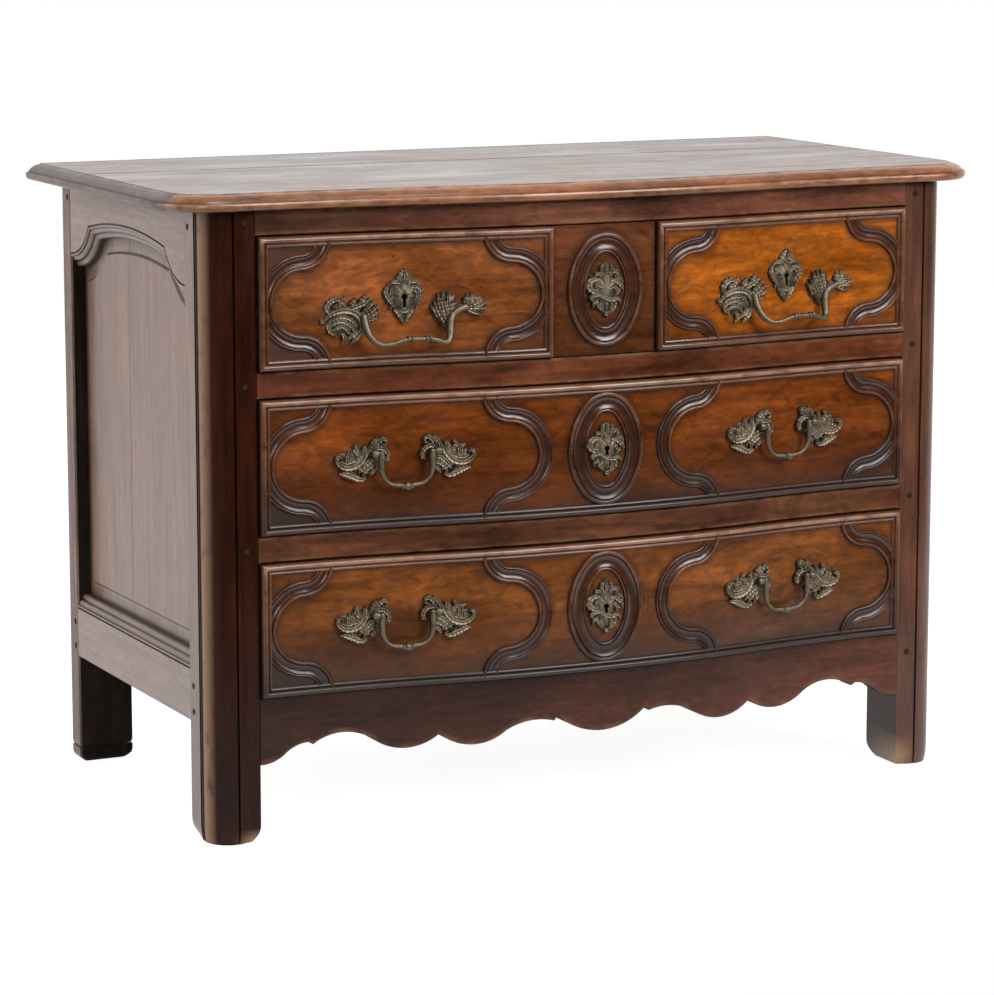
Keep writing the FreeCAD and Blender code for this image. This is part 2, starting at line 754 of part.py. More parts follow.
top = doc.addObject("PartDesign::Body", "top")
outline = new_sketch(top, "top_outline", "XY_Plane")
draw(outline, [top_edge("carcass_depth")])
pad(top, outline, "top_thickness")
path = new_sketch(top, "top_path", "XY_Plane")
path_edges = draw(path, [top_edge("carcass_depth")], closed=False)
waste = "top_ovolo_inset"
nose = f"-{TOP_HALF}"
ovolo_rise = "(top_thickness - top_nose_height)"
ovolo_run = "(top_ovolo_inset - top_quirk)"
ovolo_radius = f"(({ovolo_rise}^2 + {ovolo_run}^2) / (2 * {ovolo_rise}))"
PROFILES = {
    "top_ovolo": [
        (f"{nose} - {waste}", "top_nose_height"),
        (f"{nose} + top_quirk", "top_nose_height", ovolo_radius, -1),
        (f"{nose} + top_ovolo_inset", "top_thickness"),
        (f"{nose} + top_ovolo_inset", f"top_thickness + {waste}"),
        (f"{nose} - {waste}", f"top_thickness + {waste}"),
    ],
    "top_nose": [
        (f"{nose} - {waste}", f"-{waste}"),
        (f"{nose} + top_nose_radius", f"-{waste}"),
        (f"{nose} + top_nose_radius", "0", "top_nose_radius", -1),
        (nose, "top_nose_radius"),
        (f"{nose} - {waste}", "top_nose_radius"),
    ],
}
for name, corners in PROFILES.items():
    profile = new_sketch(top, name, "XZ_Plane")
    profile.AttachmentOffset = FreeCAD.Placement(FreeCAD.Vector(0, 0, -1), FreeCAD.Rotation())
    profile.setExpression("AttachmentOffset.Base.z", bind("-carcass_depth"))
    draw(profile, [corners])
    pipe = top.newObject("PartDesign::SubtractivePipe", name + "_cut")
    pipe.Profile = profile
    pipe.Spine = (path, path_edges)
place(top, ("0", FACE, CARCASS_TOP))
top_split = "(top_front_board - top_front_overhang)"
TOP_BOARDS = {
    "top_front_board": (f"{FACE} - top_front_overhang - bow", "top_front_board + bow"),
    "top_rear_board": (f"{FACE} + {top_split}", f"carcass_depth - {top_split}"),
}
for label, (start, length) in TOP_BOARDS.items():
    cutter = box(
        label + "_cutter",
        (f"-{TOP_HALF}", start, CARCASS_TOP),
        (f"2 * {TOP_HALF}", length, "top_thickness"),
    )
    keep(label, common(label + "_cut", top, cutter))

# Back boards nailed to the back rails, and bottom boards nailed under the runners


def boards(label, count, low, width, size, axis):
    """Row of equal boards, edge to edge."""
    row = []
    for i in range(round(value(count))):
        corner = list(low)
        corner[axis] = f"{low[axis]} + {i} * ({width}) / {count}"
        extent = list(size)
        extent[axis] = f"({width}) / {count}"
        row.append(box(f"{label}_{i}", corner, extent))
    return keep(label, group(f"{label}_row", row))


BACK_FACE = f"({REAR_POST} + back_rail_thickness)"
BOTTOM_FLOOR = f"({LEVELS['bottom']} - runner_height - bottom_board_thickness)"
boards(
    "back_boards",
    "back_board_count",
    (f"-{REAR_OPEN}", f"{FACE} + {BACK_FACE}", f"{LEVELS['bottom']} - back_rail_height"),
    f"2 * {REAR_OPEN}",
    ("0", "back_board_thickness", f"{CARCASS_TOP} - {LEVELS['bottom']} + back_rail_height"),
    0,
)
boards(
    "bottom_boards",
    "bottom_board_count",
    (f"-{OPEN}", f"{FACE} + apron_thickness", BOTTOM_FLOOR),
    f"{REAR_POST} - apron_thickness",
    (f"2 * {OPEN}", "0", "bottom_board_thickness"),
    1,
)

# Runners and guides, and the two partitions of the top row

RUNNER_LENGTH = f"({REAR_POST} - rail_depth)"
DIVIDER = "(centre_drawer_width / 2 + front_gap / 2)"
carriers = []
for level, floor in LEVELS.items():
    front = "apron_thickness" if level == "bottom" else "rail_depth"
    for side, sign in SIDES.items():
        carriers.append(
            box(
                f"runner_{level}_{side}",
                (
                    across(sign, f"{OPEN} - runner_width", "runner_width"),
                    f"{FACE} + {front}",
                    f"{floor} - runner_height",
                ),
                ("runner_width", f"{REAR_POST} - {front}", "runner_height"),
            )
        )
        carriers.append(
            box(
                f"guide_{level}_{side}",
                (
                    across(sign, OPEN, "post_width - side_rail_thickness"),
                    f"{FACE} + post_depth",
                    f"{floor} - runner_height",
                ),
                (
                    "post_width - side_rail_thickness",
                    f"{REAR_POST} - post_depth",
                    "runner_height + guide_height",
                ),
            )
        )
for side, sign in SIDES.items():
    carriers.append(
        box(
            f"runner_divider_{side}",
            (
                across(sign, f"{DIVIDER} - runner_width / 2", "runner_width"),
                f"{FACE} + rail_depth",
                f"{LEVELS['top']} - runner_height",
            ),
            ("runner_width", RUNNER_LENGTH, "runner_height"),
        )
    )
    keep(
        f"divider_{side}",
        box(
            f"divider_board_{side}",
            (
                across(sign, f"{DIVIDER} - divider_thickness / 2", "divider_thickness"),
                f"{FACE} + rail_depth",
                LEVELS["top"],
            ),
            ("divider_thickness", RUNNER_LENGTH, f"{CARCASS_TOP} - {LEVELS['top']}"),
        ),
    )
keep("drawer_runners", group("carriers", carriers))

# Drawer mouldings, drawn on the front

slabs = {}
for kind, lift in (("proud", "field_proud"), ("flush", "0")):
    for layer, height in (("field", "0"), ("base", "moulding_base"), ("rib", "moulding_rib")):
        slabs[kind, layer] = bow_slab(f"slab_{kind}_{layer}", f"{lift} + {height}", FRONT_BACK)


def serpentine(bulge_x, half_height, sign, inner, outer):
    """Stretch of a serpentine band, between two offsets from its middle line.

    The middle line starts upright at the frame, turns in a shoulder, swings back in a bulge
    at the drawer's mid height and ends as it began. Its two radii meet in one tangent, so
    their sum is (reach squared + height squared) / (2 * reach).
    """
    total = f"((band_reach^2 + ({half_height})^2) / (2 * band_reach))"
    shoulder = f"({total} * shoulder_share)"
    bulge = f"({total} * (1 - shoulder_share))"
    start_x = "band_reach"
    shoulder_x = f"({start_x} - {shoulder})"
    ux = f"(({bulge} - {shoulder_x}) / {total})"
    uz = f"(-({half_height}) / {total})"

    def side(offset, upward):
        radius = f"({shoulder} + ({offset}))"
        meet_x = f"({shoulder_x} + {ux} * {radius})"
        meet_z = f"({half_height} + {uz} * {radius})"
        belly = f"({bulge} - ({offset}))"
        chain = [
            (f"{start_x} + ({offset})", half_height, radius, -1),
            (meet_x, meet_z, belly, 1),
            (f"({offset})", "0", belly, 1),
            (meet_x, f"-{meet_z}", radius, -1),
            (f"{start_x} + ({offset})", f"-({half_height})"),
        ]
        return reverse(chain) if upward else chain

    loop = side(outer, False) + side(inner, True)
    return shifted(mirrored(loop, sign), bulge_x, "0")


def oval(offset):
    """Four-arc oval, set in by an offset."""
    tip = "(oval_half_height - oval_end_radius)"
    flank = (
        f"((oval_half_width^2 + {tip}^2 - oval_end_radius^2)"
        " / (2 * (oval_half_width - oval_end_radius)))"
    )
    reach = f"({flank} - oval_end_radius)"
    meet_x = f"(({flank} - oval_half_width) / {reach} * (oval_end_radius - ({offset})))"
    meet_z = f"({tip} + {tip} / {reach} * (oval_end_radius - ({offset})))"
    long_arc = f"({flank} - ({offset}))"
    short_arc = f"(oval_end_radius - ({offset}))"
    return [
        (meet_x, f"-{meet_z}", long_arc, 1),
        (meet_x, meet_z, short_arc, 1),
        (f"-{meet_x}", meet_z, long_arc, 1),
        (f"-{meet_x}", f"-{meet_z}", short_arc, 1),
    ]


# For each layer of a band, the stretches from its outer edge to its inner edge
STRETCHES = {
    "base": (("0", "band_width"),),
    "rib": (("0", "band_outer_rib"), ("band_width - band_inner_rib", "band_width")),
}
FRAMES = {"base": "frame_width", "rib": "frame_rib"}


def relief(name, layer, low_x, high_x, mid_z, half_z, bands, with_oval):
    """Moulded layer of one front: its frame, its serpentine bands and its oval."""
    pieces = []
    width = FRAMES[layer]
    if bands:
        outer = rectangle(low_x, f"{mid_z} - {half_z}", high_x, f"{mid_z} + {half_z}")
        hole = rectangle(
            f"{low_x} + {width}",
            f"{mid_z} - {half_z} + {width}",
            f"{high_x} - {width}",
            f"{mid_z} + {half_z} - {width}",
        )
        pieces.append(facing(f"{name}_frame_{layer}", [outer, hole]))
    for stretch, (start, end) in enumerate(STRETCHES[layer]):
        offsets = [f"({edge} - band_width / 2)" for edge in (start, end)]
        tag = f"{layer}_{stretch}"
        for index, (bulge_x, sign) in enumerate(bands):
            band = serpentine(bulge_x, f"({half_z} - frame_rib / 2)", sign, *offsets)
            pieces.append(facing(f"{name}_band_{index}_{tag}", [shifted(band, "0", mid_z)]))
        if with_oval:
            rings = [shifted(oval(edge), "0", mid_z) for edge in (start, end)]
            pieces.append(facing(f"{name}_oval_{tag}", rings))
    return pieces


INNER = f"({DIVIDER} + front_gap / 2)"
OUTER = f"({OPEN} - front_gap)"
BAND_HALF = "(band_width / 2)"
outer_bulge = f"({OUTER} - frame_width - {BAND_HALF} + band_lap)"
inner_bulge = f"({INNER} + frame_width + {BAND_HALF} - band_lap)"
oval_bulge = f"(oval_half_width + {BAND_HALF} + oval_clear)"
WIDE_BANDS = (
    (f"-{outer_bulge}", 1),
    (f"-{oval_bulge}", -1),
    (oval_bulge, 1),
    (outer_bulge, -1),
)
DRAWERS = {
    "top_left": (
        f"-{OUTER}",
        f"-{INNER}",
        "top",
        ((f"-{outer_bulge}", 1), (f"-{inner_bulge}", -1)),
        False,
    ),
    "top_centre": (
        "(-centre_drawer_width / 2 + front_gap / 2)",
        "(centre_drawer_width / 2 - front_gap / 2)",
        "top",
        (),
        True,
    ),
    "top_right": (INNER, OUTER, "top", ((inner_bulge, 1), (outer_bulge, -1)), False),
    "middle": (f"-{OUTER}", OUTER, "middle", WIDE_BANDS, True),
    "bottom": (f"-{OUTER}", OUTER, "bottom", WIDE_BANDS, True),
}

# Drawers: moulded front, two grooved sides, back and bottom


def drawer(name, low_x, high_x, level, bands, with_oval):
    """One drawer with its front and its box."""
    floor = LEVELS[level]
    opening = f"{level}_opening"
    mid_z = f"({floor} + {opening} / 2)"
    half_z = f"({opening} / 2 - front_gap)"
    kind = "proud" if bands else "flush"
    blank = box(
        f"{name}_blank",
        (low_x, f"{FACE} - bow - top_front_overhang", f"{mid_z} - {half_z}"),
        (f"{high_x} - ({low_x})", f"bow + top_front_overhang + {FRONT_BACK}", f"2 * {half_z}"),
    )
    pieces = [common(f"{name}_field", slabs[kind, "field"], blank)]
    for layer in STRETCHES:
        outlines = relief(name, layer, low_x, high_x, mid_z, half_z, bands, with_oval)
        tool = outlines[0] if len(outlines) == 1 else join(f"{name}_relief_{layer}", outlines)
        pieces.append(common(f"{name}_{layer}", slabs[kind, layer], tool))
    keep(f"{name}_front", join(f"{name}_front_board", pieces))

    inset = {"left": "0", "right": "0"}
    clear = "(divider_thickness / 2 + front_gap / 2)"
    if name == "top_centre":
        inset = {"left": clear, "right": clear}
    elif level == "top":
        inset = {"left": "0", "right": clear} if name == "top_left" else {"left": clear, "right": "0"}
    box_low = f"({low_x} + {inset['left']})"
    box_high = f"({high_x} - {inset['right']})"
    base = f"({floor} + runner_gap)"
    length = f"({DRAWER_END} - {FRONT_BACK})"
    start = f"{FACE} + {FRONT_BACK}"
    floor_board = box(
        f"{name}_floor",
        (f"{box_low} + drawer_side - drawer_groove", start, f"{base} + drawer_bottom_rise"),
        (
            f"{box_high} - {box_low} - 2 * drawer_side + 2 * drawer_groove",
            length,
            "drawer_bottom",
        ),
    )
    walls = []
    for side, corner in (("left", box_low), ("right", f"{box_high} - drawer_side")):
        blank = box(
            f"{name}_wall_{side}",
            (corner, start, base),
            ("drawer_side", length, f"{opening} - drawer_side_drop"),
        )
        walls.append(cut(f"{name}_side_{side}", blank, floor_board))
    rise = "(drawer_bottom_rise + drawer_bottom)"
    back = box(
        f"{name}_back_board",
        (f"{box_low} + drawer_side", f"{FACE} + {DRAWER_END} - drawer_side", f"{base} + {rise}"),
        (
            f"{box_high} - {box_low} - 2 * drawer_side",
            "drawer_side",
            f"{opening} - drawer_back_drop - {rise}",
        ),
    )
    if name == "top_centre":
        keep(f"{name}_box", group(f"{name}_walls", walls + [back]))
    else:
        keep(f"{name}_sides", group(f"{name}_walls", walls))
        keep(f"{name}_back", back)
    keep(f"{name}_bottom", floor_board)


for name, settings in DRAWERS.items():
    drawer(name, *settings)

# Locks behind the keyholes, with their bolts drawn back

KEYHOLES = {
    "top_left": "-handle_place",
    "top_right": "handle_place",
    "middle": "0",
    "bottom": "0",
}


def mid_height(level):
    """Middle of an opening's height."""
    return f"({LEVELS[level]} + {level}_opening / 2)"


for name, x in KEYHOLES.items():
    level = name.split("_")[0]
    back = f"{FACE} + {FRONT_BACK}"
    low = f"{mid_height(level)} - lock_height / 3"
    case = box(
        f"{name}_lock_case",
        (f"{x} - lock_width / 2", back, low),
        ("lock_width", "lock_thickness", "lock_height"),
    )
    bolt = box(
        f"{name}_lock_bolt",
        (
            f"{x} - bolt_width / 2",
            f"{back} + (lock_thickness - bolt_thickness) / 2",
            f"{low} + lock_height",
        ),
        ("bolt_width", "bolt_thickness", "bolt_rise"),
    )
    keep(f"{name}_lock", group(f"{name}_lock_pieces", [case, bolt]))

# Cast outlines: each corner and the radius of the arc after it as shares of the half width, half
# height and half width of the casting, with the arc's bend. The shield's is its right half.

SHIELD = (
    (0, -1, 0.9, 1),
    (0.62, -0.6, 1.1, -1),
    (0.8, -0.24, 1.4, 1),
    (1, 0.44, 1.2, -1),
    (0.42, 0.64, 0.6, 1),
)
LEAF = (
    (-0.85, -0.35, 0.5, 1),
    (-0.1, -0.55, 0.45, -1),
    (0.35, -1, 0.6, 1),
    (0.8, -0.5, 0.5, -1),
    (1, 0.3, 0.7, 1),
    (0.3, 0.6, 0.5, -1),
    (-0.5, 1, 0.6, 1),
    (-0.85, 0.2, 0.5, 1),
)


def outline_of(shares, half, tall):
    """Corners of a cast outline at its real size."""
    return [(f"{half} * {u}", f"{tall} * {v}", f"{half} * {radius}", bend) for u, v, radius, bend in shares]


# Escutcheons: a waisted shield with a crest, a raised middle and, on four of them, a keyhole


def shield(scale):
    """Outline of an escutcheon about its keyhole, at a share of its full size."""
    half = f"plate_half * {scale}"
    tall = f"plate_half_height * {scale}"
    right = outline_of(SHIELD, half, tall) + [("0", tall)]
    return right + reverse(mirrored(right, -1))[1:-1]


def casting(name, loop, thickness):
    """Cast piece of one outline, from behind the wood's face to its own thickness."""
    return prism(name, "XZ_Plane", [loop], f"{thickness} + seat_depth", ("0", "seat_depth", "0"))


def escutcheon(name, x, mid_z, depth, turn, kind, pierced):
    """Cast plate on the field of a drawer."""
    height = "(plate_thickness + plate_relief)"
    plate = casting(f"{name}_plate", shield(1), "plate_thickness")
    dome = casting(f"{name}_dome", shield("dome_share"), height)
    whole = join(f"{name}_cast", [plate, dome])
    if pierced:
        through = f"{height} + seat_depth"
        hole = rod(f"{name}_hole", "keyhole_radius", through, ("0", "seat_depth", "0"), (0, -1, 0))
        slot = box(
            f"{name}_slot",
            ("-keyhole_radius / 2", f"-{height}", "-keyhole_slot"),
            ("keyhole_radius", through, "keyhole_slot"),
        )
        whole = cut(f"{name}_pierced", whole, join(f"{name}_keyhole", [hole, slot]))
    place(whole, (x, f"{FACE} - ({depth})", mid_z), turn)
    keep(f"{name}_escutcheon", cut(f"{name}_seated", whole, slabs[kind, "field"]))


SLOPE = f"asin(({OPEN} - handle_place) / {BOW_RADIUS})"
escutcheon("top_centre", "0", mid_height("top"), "bow", "0", "flush", False)
for name, x in KEYHOLES.items():
    level = name.split("_")[0]
    if level == "top":
        sign = -1 if name == "top_left" else 1
        depth = f"field_proud + {bow_outer('handle_place')}"
        height = f"{mid_height('top')} + plate_rise"
        escutcheon(name, x, height, depth, f"{sign} * {SLOPE}", "proud", True)
    else:
        escutcheon(name, x, mid_height(level), "field_proud + bow", "0", "proud", True)

# Handles. Each stands on the chord between its two feet on the curved front.


def stand(half, sign):
    """Depth and turn of a handle whose feet are a half width either side of its middle."""
    near = bow_inner(f"(handle_place - {half})")
    far = bow_outer(f"(handle_place + {half})")
    depth = f"field_proud + ({near} + {far}) / 2"
    turn = f"{sign} * atan(({near} - {far}) / (2 * {half}))"
    return depth, turn


def leaf(middle, sign, scale):
    """Outline of a rocaille mount: a scroll by the pivot, and leaf tips at the outer end."""
    loop = outline_of(LEAF, f"mount_half * {scale}", f"mount_half_height * {scale}")
    return shifted(mirrored(loop, sign), f"{sign} * ({middle})", "-mount_drop")


def mount(name, sign):
    """Cast leaf with the boss that takes one end of a bail."""
    rim = casting(f"{name}_rim", leaf("mount_place", sign, 1), "mount_thickness")
    raised = leaf("mount_place", sign, "crest_share")
    crest = casting(f"{name}_crest", raised, "mount_thickness + mount_relief")
    lug = box(
        f"{name}_lug",
        (across(sign, "pivot_half", "boss_length"), "-pivot_stand", "-boss_radius"),
        ("boss_length", "pivot_stand", "2 * boss_radius"),
    )
    boss = rod(
        f"{name}_boss",
        "boss_radius",
        "boss_length",
        (f"{sign} * pivot_half", "-pivot_stand", "0"),
        (sign, 0, 0),
    )
    hole = rod(
        f"{name}_hole",
        "pin_radius + pin_clearance",
        "pin_length + pin_clearance",
        (f"{sign} * pivot_half", "-pivot_stand", "0"),
        (sign, 0, 0),
    )
    return cut(f"{name}_cast", join(f"{name}_blank", [rim, crest, lug, boss]), hole)


def bar(name, half, drop, depth):
    """Round bar bent from one end, down, across and up to the other end."""
    body = doc.addObject("PartDesign::Body", name)
    path = new_sketch(body, f"{name}_path", "XZ_Plane")
    route = [
        (f"-({half})", "0"),
        (f"-({half})", f"-({drop}) + bail_bend", "bail_bend", 1),
        (f"-({half}) + bail_bend", f"-({drop})"),
        (f"{half} - bail_bend", f"-({drop})", "bail_bend", 1),
        (half, f"-({drop}) + bail_bend"),
        (half, "0"),
    ]
    edges = draw(path, [route], closed=False)
    ring = new_sketch(body, f"{name}_ring", "XY_Plane")
    centre = FreeCAD.Vector(-value(half), 0, 0)
    round_bar = Part.Circle(centre, FreeCAD.Vector(0, 0, 1), value("bail_radius"))
    circle = ring.addGeometry(round_bar, False)
    for kind, text in (("DistanceX", f"-({half})"), ("DistanceY", "0")):
        index = ring.addConstraint(Sketcher.Constraint(kind, -1, 1, circle, 3, value(text)))
        ring.setExpression(f"Constraints[{index}]", bind(text))
    index = ring.addConstraint(Sketcher.Constraint("Radius", circle, value("bail_radius")))
    ring.setExpression(f"Constraints[{index}]", bind("bail_radius"))
    pipe = body.newObject("PartDesign::AdditivePipe", f"{name}_pipe")
    pipe.Profile = ring
    pipe.Spine = (path, edges)
    return place(body, ("0", f"-({depth})", "0"))


def bail(name):
    """Drop bail with a knob in the middle and a pin at each end."""
    half = "(pivot_half - bail_gap - bail_radius)"
    pieces = [bar(f"{name}_bar", half, "bail_drop", "pivot_stand")]
    pieces.append(ball(f"{name}_knob", "bail_knob", ("0", "-pivot_stand", "-bail_drop")))
    for side, sign in SIDES.items():
        at = (f"{sign} * {half}", "-pivot_stand", "0")
        pieces.append(ball(f"{name}_eye_{side}", "bail_radius + bail_gap / 2", at))
        reach = "bail_radius + bail_gap + pin_length"
        pieces.append(rod(f"{name}_pin_{side}", "pin_radius", reach, at, (sign, 0, 0)))
    return join(f"{name}_cast", pieces)


for level in ("middle", "bottom"):
    mounts = []
    for side, sign in SIDES.items():
        depth, turn = stand("mount_place", sign)
        at = (f"{sign} * handle_place", f"{FACE} - ({depth})", f"{mid_height(level)} + handle_rise")
        for hand, way in SIDES.items():
            name = f"{level}_{side}_mount_{hand}"
            whole = place(mount(name, way), at, turn)
            mounts.append(cut(f"{name}_seated", whole, slabs["proud", "field"]))
        keep(f"{level}_{side}_bail", place(bail(f"{level}_{side}"), at, turn))
    keep(f"{level}_handle_mounts", group(f"{level}_mounts", mounts))

# Fixed pulls of the top drawers: two leaves, two stems and a bar in one casting

for side, sign in SIDES.items():
    name = f"top_{side}_pull"
    depth, turn = stand("pull_half", sign)
    pieces = [bar(f"{name}_bar", "pull_half", "pull_drop", "pull_stand")]
    pieces.append(ball(f"{name}_knob", "bail_knob", ("0", "-pull_stand", "-pull_drop")))
    for hand, way in SIDES.items():
        middle = "(pull_half + mount_place - pivot_half)"
        pieces.append(casting(f"{name}_leaf_{hand}", leaf(middle, way, 1), "mount_thickness"))
        crest = leaf(middle, way, "crest_share")
        pieces.append(casting(f"{name}_crest_{hand}", crest, "mount_thickness + mount_relief"))
        at = (f"{way} * pull_half", "0", "0")
        pieces.append(rod(f"{name}_stem_{hand}", "pull_stem", "pull_stand", at, (0, -1, 0)))
        pieces.append(ball(f"{name}_end_{hand}", "pull_stem", (at[0], "-pull_stand", "0")))
    whole = join(f"{name}_cast", pieces)
    at = (f"{sign} * handle_place", f"{FACE} - ({depth})", f"{mid_height('top')} - pull_fall")
    keep(name, cut(f"{name}_seated", place(whole, at, turn), slabs["proud", "field"]))

# Build, test and write every sub-part

doc.recompute()
for thing in doc.Objects:
    if "Invalid" in thing.State or "Error" in thing.State:
        raise RuntimeError(f"{thing.Name} failed: {thing.State} {thing.getStatusString()}")
os.makedirs("parts", exist_ok=True)
for label, thing in PARTS.items():
    shape = thing.Shape
    if shape.isNull() or not shape.isValid() or not shape.Solids:
        raise RuntimeError(f"{label} has no valid solid")
    shape.exportStep(os.path.join("parts", label + ".step"))
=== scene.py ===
import math

import bpy
import numpy as np
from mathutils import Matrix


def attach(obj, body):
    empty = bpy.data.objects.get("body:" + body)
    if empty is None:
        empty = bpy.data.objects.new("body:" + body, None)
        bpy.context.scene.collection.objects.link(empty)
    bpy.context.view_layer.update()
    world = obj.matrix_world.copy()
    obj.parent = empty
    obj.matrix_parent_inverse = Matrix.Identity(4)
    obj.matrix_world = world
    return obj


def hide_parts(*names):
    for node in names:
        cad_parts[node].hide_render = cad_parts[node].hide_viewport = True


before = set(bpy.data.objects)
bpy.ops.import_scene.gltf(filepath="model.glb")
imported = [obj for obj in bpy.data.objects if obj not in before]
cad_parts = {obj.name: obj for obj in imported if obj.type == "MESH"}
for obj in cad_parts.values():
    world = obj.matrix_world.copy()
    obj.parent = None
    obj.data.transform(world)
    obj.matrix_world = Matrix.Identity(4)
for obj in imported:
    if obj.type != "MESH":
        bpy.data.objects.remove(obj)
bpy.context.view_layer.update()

# Front posts
# Each is one length of walnut from the floor to the top, its outer corner rounded between worked
# grooves. The rails are tenoned into it, and its lower end is the foot, worn at the floor.

MM = 0.001
FACE = -261.5  # front of the posts
HALF = 575.0  # middle of the front to the outside of the posts
OPEN = 505.0  # middle of the front to the inside of the posts
CARCASS_TOP = 867.0
POST_DEPTH = 82.0
POST_ROUND = 36.0
POST_EASE = 2.0
GROOVE_WIDTH, GROOVE_DEPTH, GROOVE_SLOPE = 3.5, 3.0, 0.6
BEAD, BEAD_SLOPE, BEAD_FULL = 5.0, 0.4, 0.55
SIDES = {"left": -1, "right": 1}


def chain(corners, closed=False, turn=0.12):
    """Points along lines and arcs through corners (u, v) or (u, v, radius, bend of the next edge).

    An arc's centre is off the chord's middle by sqrt(radius^2 - (chord / 2)^2), on its left for a
    bend of 1, and the arc is cut into equal angles of about 'turn' radians.
    """
    runs = []
    for corner, following in zip(corners, corners[1:] + corners[:1]):
        start, end = np.array(corner[:2], float), np.array(following[:2], float)
        if not corner[2:]:
            runs.append(start[None])
            continue
        radius, bend = corner[2:]
        chord = end - start
        length = np.hypot(*chord)
        normal = np.array([-chord[1], chord[0]]) / length
        centre = (start + end) / 2 + normal * bend * math.sqrt(max(radius**2 - length**2 / 4, 0))
        sweep = 2 * math.asin(min(length / 2 / radius, 1))
        steps = max(int(sweep / turn), 3)
        first = math.atan2(start[1] - centre[1], start[0] - centre[0])
        angle = first + bend * sweep * np.linspace(0, 1, steps, endpoint=False)
        runs.append(centre + radius * np.stack([np.cos(angle), np.sin(angle)], 1))
    if not closed:
        runs[-1] = np.array([corners[-1][:2]], float)
    return np.concatenate(runs)


def sheet(points, wrap=False, capped=False, facing=None, finish=0, **marks):
    """Grid of points (rows, columns, xyz) as quads between neighbours.

    'wrap' joins the last column to the first and 'capped' closes the first and last rows on their
    middle points. Faces turn to 'facing', or outwards by the sign of the enclosed volume. 'finish'
    is one number, or one for each row or column of faces.
    """
    rows, columns = points.shape[:2]
    index = np.arange(rows * columns).reshape(rows, columns)
    if wrap:
        index = np.concatenate([index, index[:, :1]], 1)
    quads = np.stack([index[:-1, :-1], index[1:, :-1], index[1:, 1:], index[:-1, 1:]], -1).reshape(-1, 4)
    flat = points.reshape(-1, 3)
    marks = {key: np.broadcast_to(value, (rows, columns)).reshape(-1) for key, value in marks.items()}
    fans = np.zeros((0, 3), int)
    if capped:
        first, last = index[0], index[-1]
        fans = np.concatenate(
            [
                np.stack([np.full(len(first) - 1, len(flat)), first[:-1], first[1:]], 1),
                np.stack([np.full(len(last) - 1, len(flat) + 1), last[1:], last[:-1]], 1),
            ]
        )
        flat = np.concatenate([flat, [points[0].mean(0), points[-1].mean(0)]])
        ends = {key: [v[:columns].mean(), v[-columns:].mean()] for key, v in marks.items()}
        marks = {key: np.concatenate([v, ends[key]]) for key, v in marks.items()}
    corners = flat[quads]
    normals = np.cross(corners[:, 2] - corners[:, 0], corners[:, 3] - corners[:, 1])
    if facing is None:
        inside = np.einsum("ij,ij->i", normals, corners.mean(1) - flat.mean(0)).sum() < 0
    else:
        inside = (normals @ np.array(facing, float)).sum() < 0
    if inside:
        quads, fans = quads[:, ::-1], fans[:, ::-1]
    tint = np.broadcast_to(finish, (rows - 1, index.shape[1] - 1)).reshape(-1)
    tint = np.concatenate([tint, np.full(len(fans), tint[0])])
    return {"points": flat, "quads": quads, "fans": fans, "marks": marks, "finish": tint}


def piece(name, sheets, finishes, body, slot, *nodes, smooth=35):
    """One object from sheets in millimetres, with its finishes, its body and the nodes it stands for."""
    starts = np.cumsum([0] + [len(s["points"]) for s in sheets])
    faces = []
    for s, start in zip(sheets, starts):
        faces += (s["quads"] + start).tolist() + (s["fans"] + start).tolist()
    mesh = bpy.data.meshes.new(name)
    mesh.from_pydata((np.concatenate([s["points"] for s in sheets]) * MM).tolist(), [], faces)
    for key in ("wear", "grime"):
        filled = [s["marks"].get(key, np.zeros(len(s["points"]))) for s in sheets]
        mark = mesh.attributes.new(key, "FLOAT", "POINT")
        mark.data.foreach_set("value", np.concatenate(filled).astype(np.float32))
    for finish in finishes:
        mesh.materials.append(finish)
    tints = np.concatenate([s["finish"] for s in sheets])
    mesh.polygons.foreach_set("material_index", tints.astype(np.int32))
    mesh.polygons.foreach_set("use_smooth", np.ones(len(mesh.polygons), bool))
    mesh.set_sharp_from_angle(angle=math.radians(smooth))
    mesh.update()
    made = bpy.data.objects.new(name, mesh)
    bpy.context.scene.collection.objects.link(made)
    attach(made, body)
    if nodes:
        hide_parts(*nodes)
    return made


def node(tree, kind, inputs=(), **settings):
    """New shader node with its settings and inputs, each a plain value or another node's output."""
    made = tree.nodes.new("ShaderNode" + kind)
    for key, value in settings.items():
        setattr(made, key, value)
    for key, value in dict(inputs).items():
        if isinstance(value, bpy.types.NodeSocket):
            tree.links.new(value, made.inputs[key])
        else:
            made.inputs[key].default_value = value
    return made


def mixed(tree, share, low, high, blend="MIX"):
    """Colour between two colours."""
    made = node(tree, "Mix", {0: share, 6: low, 7: high}, data_type="RGBA", blend_type=blend)
    return made.outputs[2]


def spread(tree, value, low, high, to_low=0.0, to_high=1.0):
    """Value stretched from one range to another, and held at its ends."""
    inputs = {"Value": value, "From Min": low, "From Max": high, "To Min": to_low, "To Max": to_high}
    return node(tree, "MapRange", inputs).outputs[0]


def paint(colour):
    """Colour with its alpha."""
    return (*colour, 1.0)


def joined(tree, operation, first, second):
    """Value made of two values by one operation."""
    return node(tree, "Math", {0: first, 1: second}, operation=operation).outputs[0]


def blank(name):
    """New material and its emptied node tree."""
    material = bpy.data.materials.new(name)
    material.use_nodes = True
    material.node_tree.nodes.clear()
    return material, material.node_tree


def surfaced(tree, inputs):
    """Surface with its inputs, joined to the material's output."""
    shader = node(tree, "BsdfPrincipled", inputs)
    node(tree, "OutputMaterial", {"Surface": shader.outputs[0]})


